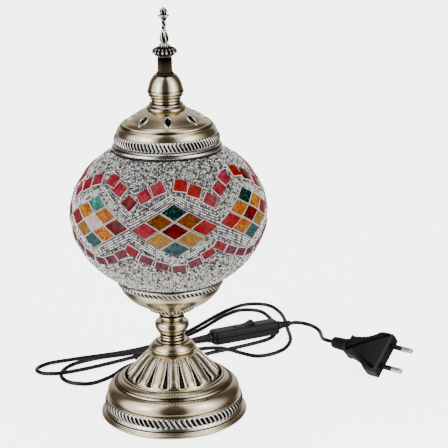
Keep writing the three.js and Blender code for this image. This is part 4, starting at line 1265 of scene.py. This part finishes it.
def seed_places(tiles, string_turn, string_latitude, draw):
    """Loosely packed places over what the tiles and strings leave free."""
    pitch = SEED_PITCH
    turns, latitudes = [], []
    rows = int(2 * EDGE_LATITUDE * MM_PER_LATITUDE / (pitch * 0.86))
    for row in range(rows):
        latitude = -EDGE_LATITUDE + 0.9 + (2 * EDGE_LATITUDE - 1.8) * row / (rows - 1)
        count = int(2 * math.pi * GLOBE_RADIUS * math.cos(math.radians(latitude)) / pitch)
        turns.append((np.arange(count) + 0.5 * (row % 2)) * 360 / count)
        latitudes.append(np.full(count, latitude))
    turn, latitude = np.concatenate(turns), np.concatenate(latitudes)
    degree = MM_PER_DEGREE * np.cos(np.radians(latitude))
    turn = turn + draw.uniform(-0.3, 0.3, turn.shape) * pitch / degree
    latitude = latitude + draw.uniform(-0.3, 0.3, turn.shape) * pitch / MM_PER_LATITUDE
    free = np.ones(turn.shape, bool)
    for corners, _ in tiles:
        flat = np.array(widened(corners, 0.85), float)
        middle = flat.mean(axis=0)
        scale = np.array([math.cos(math.radians(middle[1])) * MM_PER_DEGREE, MM_PER_LATITUDE])
        ring = (flat - middle) * scale
        reach = np.stack([(turn - middle[0] + 180) % 360 - 180, latitude - middle[1]], -1) * scale
        inside = np.ones(turn.shape, bool)
        for start, end in zip(ring, np.roll(ring, -1, axis=0)):
            edge = end - start
            inside &= edge[0] * (reach[:, 1] - start[1]) - edge[1] * (reach[:, 0] - start[0]) > 0
        free &= ~inside
    chain, _ = on_globe(string_turn, string_latitude)
    tree = KDTree(len(chain))
    for i, point in enumerate(chain):
        tree.insert(point, i)
    tree.balance()
    points, _ = on_globe(turn, latitude)
    near = np.array([tree.find(point)[2] for point in points])
    free &= near > 1.35
    return turn[free], latitude[free]


RING_BEAD = [(1.0, -0.5), (1.0, 0.12), (0.76, 0.58), (0.38, 0.50)]
ROUND_BEAD = [(0.85, -0.5), (1.0, 0.05), (0.78, 0.60), (0.30, 0.92)]
SEED_BAND_EDGES = (-90, -30, 0, 27, 90)  # latitudes that part the seed beads into four meshes


def bead_mesh(name, turn, latitude, radii, profile, look, draw, tilt=0.0, hole_shade=1.0, sides=6):
    """Many small beads as one mesh: each is a profile turned about a normal of the globe."""
    centres, normals = on_globe(turn, latitude, -BEAD_RELIEF + radii * 0.45)
    normals = normals + draw.normal(0, tilt, normals.shape)
    normals /= np.linalg.norm(normals, axis=1, keepdims=True)
    side = np.cross(normals, draw.normal(0, 1, normals.shape))
    side /= np.linalg.norm(side, axis=1, keepdims=True)
    over = np.cross(normals, side)
    angle = np.arange(sides) * 2 * math.pi / sides
    cosine, sine = np.cos(angle)[None, :, None], np.sin(angle)[None, :, None]
    around = side[:, None, :] * cosine + over[:, None, :] * sine
    middles, upward, size = centres[:, None, :], normals[:, None, :], radii[:, None, None]
    levels = [middles + size * (r * around + h * upward) for r, h in profile]
    points = np.stack(levels, 1)
    count, depth = len(centres), len(profile)
    base = np.arange(count)[:, None] * depth * sides
    faces = []
    for level in range(depth - 1):
        for j in range(sides):
            k = (j + 1) % sides
            low, high = level * sides, (level + 1) * sides
            faces += (base + np.array([low + j, low + k, high + k, high + j])[None, :]).tolist()
    faces += (base + (depth - 1) * sides + np.arange(sides)[None, :]).tolist()
    patina = np.zeros((count, depth, sides))
    # Painted shade in each bead's hole, on its top ring.
    patina[:, -1, :] = hole_shade
    tone = np.broadcast_to(draw.uniform(0, 1, (count, 1, 1)), patina.shape)
    beads = new_object(name, points.reshape(-1, 3), faces, LOOKS[look], patina, tone, crease=75)
    return trim(beads, "root")


def add_globe():
    grout = arc((0, GLOBE_CENTRE_Z), (GLOBE_RADIUS - BEAD_RELIEF, GLOBE_HALF_HEIGHT - BEAD_RELIEF),
                -EDGE_LATITUDE, EDGE_LATITUDE, 72)
    turned_piece("globe_mosaic", "mosaic_grout", shell_outline(grout, 0.9), "grout", 192)
    tiles = mosaic_tiles()
    add_tiles(tiles)
    draw = np.random.default_rng(7)
    string_turn, string_latitude = bead_strings()
    sizes = np.full(string_turn.shape, 0.74)
    bead_mesh(
        "bead_strings", string_turn, string_latitude, sizes, ROUND_BEAD, "chain_beads", draw, hole_shade=0.0)
    turn, latitude = seed_places(tiles, string_turn, string_latitude, draw)
    for i, (below, above) in enumerate(zip(SEED_BAND_EDGES, SEED_BAND_EDGES[1:])):
        here = (latitude > below) & (latitude <= above)
        sizes = draw.uniform(0.55, 0.82, here.sum())
        places = turn[here], latitude[here]
        bead_mesh(f"seed_beads_{i + 1}", *places, sizes, RING_BEAD, "seed_beads", draw, tilt=0.22)

    low, high = node_span("globe_glass")
    glass_radius = node_radius("globe_glass")
    glass_half = GLOBE_HALF_HEIGHT - (GLOBE_RADIUS - glass_radius)
    mouth = math.degrees(math.acos(33 / glass_radius))
    line = [(33, low), *arc((0, GLOBE_CENTRE_Z), (glass_radius, glass_half), -mouth, mouth, 48)]
    turned_piece("globe_glass", "globe_blown_glass", shell_outline(line, 1.6), "clear_glass", crease=60)

    low, high = node_span("globe_top_collar")
    ring = node_radius("globe_top_collar")
    collar = [
        (36.2, low + 0.6), (37.3, low), (37.5, low + 1.5), (ring - 0.3, low + 2.1),
        (ring, low + 2.9), (ring - 0.3, low + 4.0),
        (37.6, low + 5.2), (36.9, high), (36.4, high - 0.4),
    ]
    line = rings(low + 4.4, width=0.3)
    turned_piece("globe_top_collar", "mouth_collar", soften(collar, 0.4), "silvered_brass", 192, line)


# ---------- lead, switch and plug ----------

CORD_RADIUS = 0.0016

# The lead's route from the foot to the switch, in metres.
LAMP_CORD_ROUTE = [
    (0, 0.0734, 0.0096), (0.001, 0.082, 0.0082), (0.008, 0.095, 0.0024), (0.026, 0.107, 0.0018),
    (0.066, 0.1275, 0.0018), (0.082, 0.140, 0.0018), (0.0875, 0.160, 0.0018), (0.084, 0.187, 0.0018),
    (0.076, 0.205, 0.0018), (0.061, 0.209, 0.0018), (0.047, 0.198, 0.0018), (0.018, 0.157, 0.0018),
    (-0.024, 0.1185, 0.0018), (-0.064, 0.104, 0.0018), (-0.082, 0.091, 0.0018), (-0.088, 0.073, 0.0018),
    (-0.081, 0.057, 0.0018), (-0.065, 0.0525, 0.0018), (-0.050, 0.064, 0.0018), (-0.035, 0.087, 0.0018),
    (0.008, 0.1125, 0.0022), (0.037, 0.1095, 0.0058), (0.068, 0.0995, 0.0018), (0.087, 0.109, 0.0018),
    (0.0965, 0.129, 0.0018), (0.097, 0.160, 0.0018), (0.094, 0.199, 0.0018), (0.084, 0.220, 0.0018),
    (0.067, 0.2235, 0.0018), (0.050, 0.211, 0.0018), (0.011, 0.157, 0.0018), (-0.010, 0.1345, 0.0018),
    (-0.036, 0.119, 0.0018), (-0.082, 0.104, 0.0018), (-0.100, 0.096, 0.0021), (-0.1075, 0.082, 0.0032),
    (-0.101, 0.069, 0.0048), (-0.086, 0.0665, 0.0058), (-0.036, 0.101, 0.0024),
]

# The short stretch from the switch to the plug.
PLUG_CORD_ROUTE = [
    (0.1034, 0.1536, 0.0093), (0.1094, 0.1546, 0.0082), (0.1158, 0.1528, 0.0068),
    (0.1204, 0.1484, 0.0056),
    (0.1226, 0.142, 0.0049), (0.1227, 0.134, 0.0052), (0.1222, 0.118, 0.0086), (0.1219, 0.104, 0.0128),
    (0.1234, 0.0936, 0.0158),
]

TIE_PLACE = 0.935
SWITCH_LENGTH, SWITCH_WIDTH, SWITCH_HEIGHT = 60, 15, 11
SWITCH_SPLIT = 5.4
ROCKER_PIVOT = 8.2
ROCKER_REST = -10  # the rocker's lean at rest
RELIEF_LENGTH = 20
SHORT_RELIEF = 12  # the switch's relief on the plug's side
RELIEF_GAP = 0.3  # between a housing and its relief
PLUG_FACE = (0.1653, 0.0526, 0.0170)  # middle of the face with the pins
PLUG_TURN = -42
PLUG_LEAN = 40
PLUG_WIDTH, PLUG_THICKNESS, PLUG_LENGTH = 35.2, 13.7, 35
PLUG_RELIEF = 15
PIN_SPACING = 18.6


def switch_place():
    """The switch's own axes, from the axle of its rocker, with the origin under its middle."""
    axle = next(joint for joint in record["behaviour"]["joints"] if joint["name"] == "rocker_tilt")
    across = Vector(axle["axis"]).normalized()
    along = across.cross(Vector((0, 0, 1))).normalized()
    up = along.cross(across)
    origin = Vector(axle["pos_m"]) - up * ROCKER_PIVOT * MM
    return Matrix.Translation(origin) @ Matrix((along, across, up)).transposed().to_4x4()


def plug_place():
    return Matrix.Translation(PLUG_FACE) @ rotation(PLUG_TURN, "Z") @ rotation(PLUG_LEAN, "X")


def along_x(place, x, height=0.0, turn=0.0):
    """The place of a piece turned about the local X axis, starting at x."""
    start = Matrix.Translation((x * MM, 0, height * MM))
    return place @ start @ rotation(turn, "Z") @ rotation(90, "Y")


def step_lengths(line):
    return [(Vector(b) - Vector(a)).length for a, b in zip(line, line[1:])]


def add_cord(name, route, nodes):
    line = through(route, 14)
    curve = bpy.data.curves.new(name, "CURVE")
    curve.dimensions = "3D"
    curve.bevel_depth = CORD_RADIUS
    curve.bevel_resolution = 5
    curve.use_fill_caps = True
    spline = curve.splines.new("POLY")
    spline.points.add(len(line) - 1)
    for point, place in zip(spline.points, line):
        point.co = (*place, 1)
    spline.use_smooth = True
    curve.materials.append(LOOKS["black_rubber"])
    obj = bpy.data.objects.new(name, curve)
    bpy.context.collection.objects.link(obj)
    stand_for(obj, *nodes)
    return obj, line, sum(step_lengths(line))


def relief(name, node, length, root, tip, place):
    """A ribbed strain relief about the local Z axis: a collar, then a taper in ribs."""
    line = [(root, 0), (root, 2.2), (root - 0.5, 2.7)]
    ribs = int((length - 4) / 2.1)
    for i in range(ribs):
        start = 2.9 + i * (length - 4) / ribs
        radius = root - 0.6 + (tip + 0.25 - root + 0.6) * i / ribs
        line += [(radius - 0.55, start), (radius - 0.55, start + 0.45)]
        line += [(radius, start + 0.6), (radius - 0.1, start + 1.6)]
    line += [(tip, length - 0.5), (tip - 0.3, length)]
    outline = soften(bored(line, 1.75), 0.15, 2)
    return turned_piece(node, name, outline, "black_rubber", 40, place=place)


def rounded_rectangle(length, width, corner, steps=8):
    points = []
    for i, (x, y) in enumerate(((1, 1), (-1, 1), (-1, -1), (1, -1))):
        centre = (x * (length / 2 - corner), y * (width / 2 - corner))
        points += arc(centre, (corner, corner), 90 * i, 90 * i + 90, steps)
    return points


def inset(outline, distance):
    """A flat outline moved inwards along its normals."""
    points = np.array(outline, float)
    ahead = np.roll(points, -1, axis=0) - np.roll(points, 1, axis=0)
    ahead /= np.linalg.norm(ahead, axis=1)[:, None]
    return points + np.stack([-ahead[:, 1], ahead[:, 0]], 1) * distance


def layered(name, outline, layers, look, place, crease=40):
    """A solid of stacked outlines. Each layer is a height and how far its outline is inset."""
    points = [(x, y, height) for height, distance in layers for x, y in inset(outline, distance)]
    count = len(outline)
    faces = []
    for level in range(len(layers) - 1):
        low, high = level * count, (level + 1) * count
        faces += ring_faces(low, high, count)
    faces += end_faces(len(points), count)
    return new_object(name, points, faces, LOOKS[look], crease=crease, place=place)


def rounding(height, radius, up, steps=5):
    """Layers that round an edge at a height: inwards as it goes up, or outwards from below."""
    layers = []
    for i in range(steps + 1):
        angle = math.pi / 2 * i / steps
        away, drop = radius * (1 - math.cos(angle)), radius * (1 - math.sin(angle))
        layers.append((height - drop if up else height + drop, away))
    return layers if up else layers[::-1]


def add_switch():
    place = switch_place()
    outline = rounded_rectangle(SWITCH_LENGTH, SWITCH_WIDTH, 4)
    lower = layered(
        "switch_base", outline,
        [*rounding(0, 1.6, False), (SWITCH_SPLIT - 0.3, 0),
            (SWITCH_SPLIT - 0.05, 0.25)], "black_plastic", place)
    upper = layered(
        "switch_cover", outline,
        [(SWITCH_SPLIT + 0.25, 0.25), (SWITCH_SPLIT + 0.5, 0),
            *rounding(SWITCH_HEIGHT, 2.4, True)], "black_plastic", place)
    window_cut = layered(
        "switch_window", rounded_rectangle(18, 9, 1), [(8.6, 0), (13, 0)], "black_plastic", place)
    carve(upper, [window_cut])
    stand_for(lower, "switch_lower_shell")
    stand_for(upper, "switch_upper_shell")

    half, top = 8.2, SWITCH_HEIGHT + 2 - ROCKER_PIVOT
    dished = [(half * (1 - i / 6), top - 1.3 * (1 - (1 - i / 6) ** 2)) for i in range(13)]
    side = [*dished, (-half + 0.5, 1.8), (-3, 0.9), (3, 0.9), (half - 0.5, 1.8)]
    pivot = Matrix.Translation((0, 0, ROCKER_PIVOT * MM))
    sideways = place @ pivot @ rotation(ROCKER_REST, "Y") @ rotation(90, "X")
    layers = [*rounding(-4, 0.7, False), *rounding(4, 0.7, True)]
    rocker = layered("rocker_paddle", side, layers, "black_plastic", sideways)
    stand_for(rocker, "switch_rocker")

    middle = SWITCH_HEIGHT / 2
    lamp_side = relief(
        "switch_boot_lamp_side", "switch_relief_lamp_side", RELIEF_LENGTH, 4.2, 2.4,
        along_x(place, -SWITCH_LENGTH / 2 - RELIEF_GAP, middle, 180))
    plug_side = relief(
        "switch_boot_plug_side", "switch_relief_plug_side", SHORT_RELIEF, 3.8, 2.4,
        along_x(place, SWITCH_LENGTH / 2 + RELIEF_GAP, middle))
    return [lower, upper, rocker, lamp_side, plug_side]


def plug_outline():
    half = PLUG_WIDTH / 2
    side = through([(-8, half), (-11.5, half - 0.8), (-14.8, half - 3.6), (-21, 10.2), (-28, 8.2),
                    (-PLUG_LENGTH, 7.4)], 5)
    corner = arc((-1.2, half - 1.2), (1.2, 1.2), 0, 90, 5)
    upper = [*corner, *side]
    return upper + [(x, -y) for x, y in reversed(upper)]


def add_plug():
    place = plug_place()
    half = PLUG_THICKNESS / 2
    body = layered(
        "plug_moulding", plug_outline(), [
            *rounding(-half, 3.2, False, 7), *rounding(half, 3.2, True, 7)], "black_plastic", place)
    stand_for(body, "plug_body")
    pieces = [body]
    tip = arc((0.6, 17.4), (1.4, 1.6), 0, 80, 6)
    metal = [(0, -4), (1.85, -4), (1.85, 10), (2, 10.1), (2, 17.4), *tip, (0, 19)]
    collar = [(1.87, -1), (2.0, -1), (2.0, 9.6), (1.87, 9.9)]
    for i, side in enumerate((-1, 1)):
        stand = place @ Matrix.Translation((0, side * PIN_SPACING / 2 * MM, 0)) @ rotation(90, "Y")
        pin_name = f"plug_pin_{i + 1}"
        pin = turned_piece(pin_name, f"pin_metal_{i + 1}", metal, "nickel_pins", 40, place=stand)
        sleeve = turning(f"pin_sleeve_{i + 1}", soften(collar, 0.05), "black_plastic", 40, place=stand)
        pieces += [pin, trim(sleeve, "root")]
    rear = along_x(place, -PLUG_LENGTH - RELIEF_GAP, 0, 180)
    pieces.append(relief("plug_boot", "plug_strain_relief", PLUG_RELIEF, 5.8, 4.4, rear))
    return pieces


def add_tie(line):
    """A wire tie wound twice round the lead, with its ends twisted together."""
    lengths = np.concatenate([[0], np.cumsum(step_lengths(line))])
    index = int(np.searchsorted(lengths, TIE_PLACE * lengths[-1]))
    here = Vector(line[index]) / MM
    along = (Vector(line[index + 1]) - Vector(line[index - 1])).normalized()
    across = Vector((along.y, -along.x, 0)).normalized()
    up = across.cross(along)
    wound = []
    for i in range(61):
        angle = 4 * math.pi * i / 60 + math.pi
        outward = (across * math.cos(angle) + up * math.sin(angle)) * 2.25
        wound.append(here + outward + along * (1.6 * i / 60 - 0.8))
    loops = tube("tie_loops", wound, 0.55, "black_rubber", closed=False)
    ends = []
    for strand in range(2):
        twist = []
        for i in range(41):
            angle = 5 * math.pi * i / 40 + strand * math.pi
            outward = across * (-2.4 - 9.6 * i / 40)
            twist.append(here + outward + (along * math.cos(angle) + up * math.sin(angle)) * 0.5)
        end = tube(f"tie_end_{strand + 1}", twist, 0.5, "black_rubber", closed=False)
        ends.append(trim(end, "root"))
    return [stand_for(loops, "cord_twist_tie"), *ends]


def add_lead():
    switch, plug = switch_place(), plug_place()
    middle = SWITCH_HEIGHT / 2

    def in_switch(x):
        return tuple(switch @ Vector((x * MM, 0, middle * MM)))

    def in_plug(x):
        return tuple(plug @ Vector((x * MM, 0, 0)))

    tip = SWITCH_LENGTH / 2 + RELIEF_LENGTH + RELIEF_GAP
    lamp_route = [
        *LAMP_CORD_ROUTE, in_switch(-tip - 8), in_switch(-tip - 0.3), in_switch(-36), in_switch(-22)]
    short_tip = SWITCH_LENGTH / 2 + SHORT_RELIEF + RELIEF_GAP
    plug_tip = PLUG_LENGTH + PLUG_RELIEF + RELIEF_GAP
    plug_route = [
        in_switch(22), in_switch(34), in_switch(short_tip + 0.3), *PLUG_CORD_ROUTE,
        in_plug(-plug_tip - 2), in_plug(-PLUG_LENGTH - 12), in_plug(-PLUG_LENGTH - 5),
        in_plug(-PLUG_LENGTH + 4),
    ]
    lamp_cord, lamp_line, lamp_length = add_cord(
        "lead_lamp_to_switch", lamp_route, ["cord_lamp_to_switch"])
    plug_cord, _, plug_length = add_cord("lead_switch_to_plug", plug_route, ["cord_switch_to_plug"])
    turn_back = Matrix.Translation((0, 0.053, 0.0096)) @ rotation(-90, "X")
    base_boot = relief("foot_boot", "base_strain_relief", RELIEF_LENGTH, 3.6, 2.3, turn_back)
    switch_pieces = add_switch()
    tie = add_tie(lamp_line)
    plug_pieces = add_plug()


# ---------- making it ----------

def finish_inner_nodes():
    """The hidden CAD pieces keep their shape and take a finished material."""
    finishes = {
        "steel": ["base_washer", "base_nut", "threaded_rod", "gallery_washer", "gallery_nut", "finial_stud",
                  "finial_nut", "switch_rocker_pin", "switch_screw_1", "switch_screw_2"],
        "cast_iron": ["base_weight"],
        "white_ceramic": ["lampholder_insulator"],
        "bright_brass": ["lampholder_contact", "switch_contact"],
        "silvered_brass": ["bulb_contact"],
        "clear_glass": ["bulb_stem"],
    }
    for look, nodes in finishes.items():
        for name in nodes:
            data = frame["nodes"][name].data
            data.materials.clear()
            data.materials.append(LOOKS[look])


add_camera()
add_lead()
add_foot()
add_torus()
add_fluted_dome()
add_stem()
add_gallery()
add_cap()
add_finial()
add_lampholder()
add_bulb()
add_globe()
finish_inner_nodes()
add_stage()
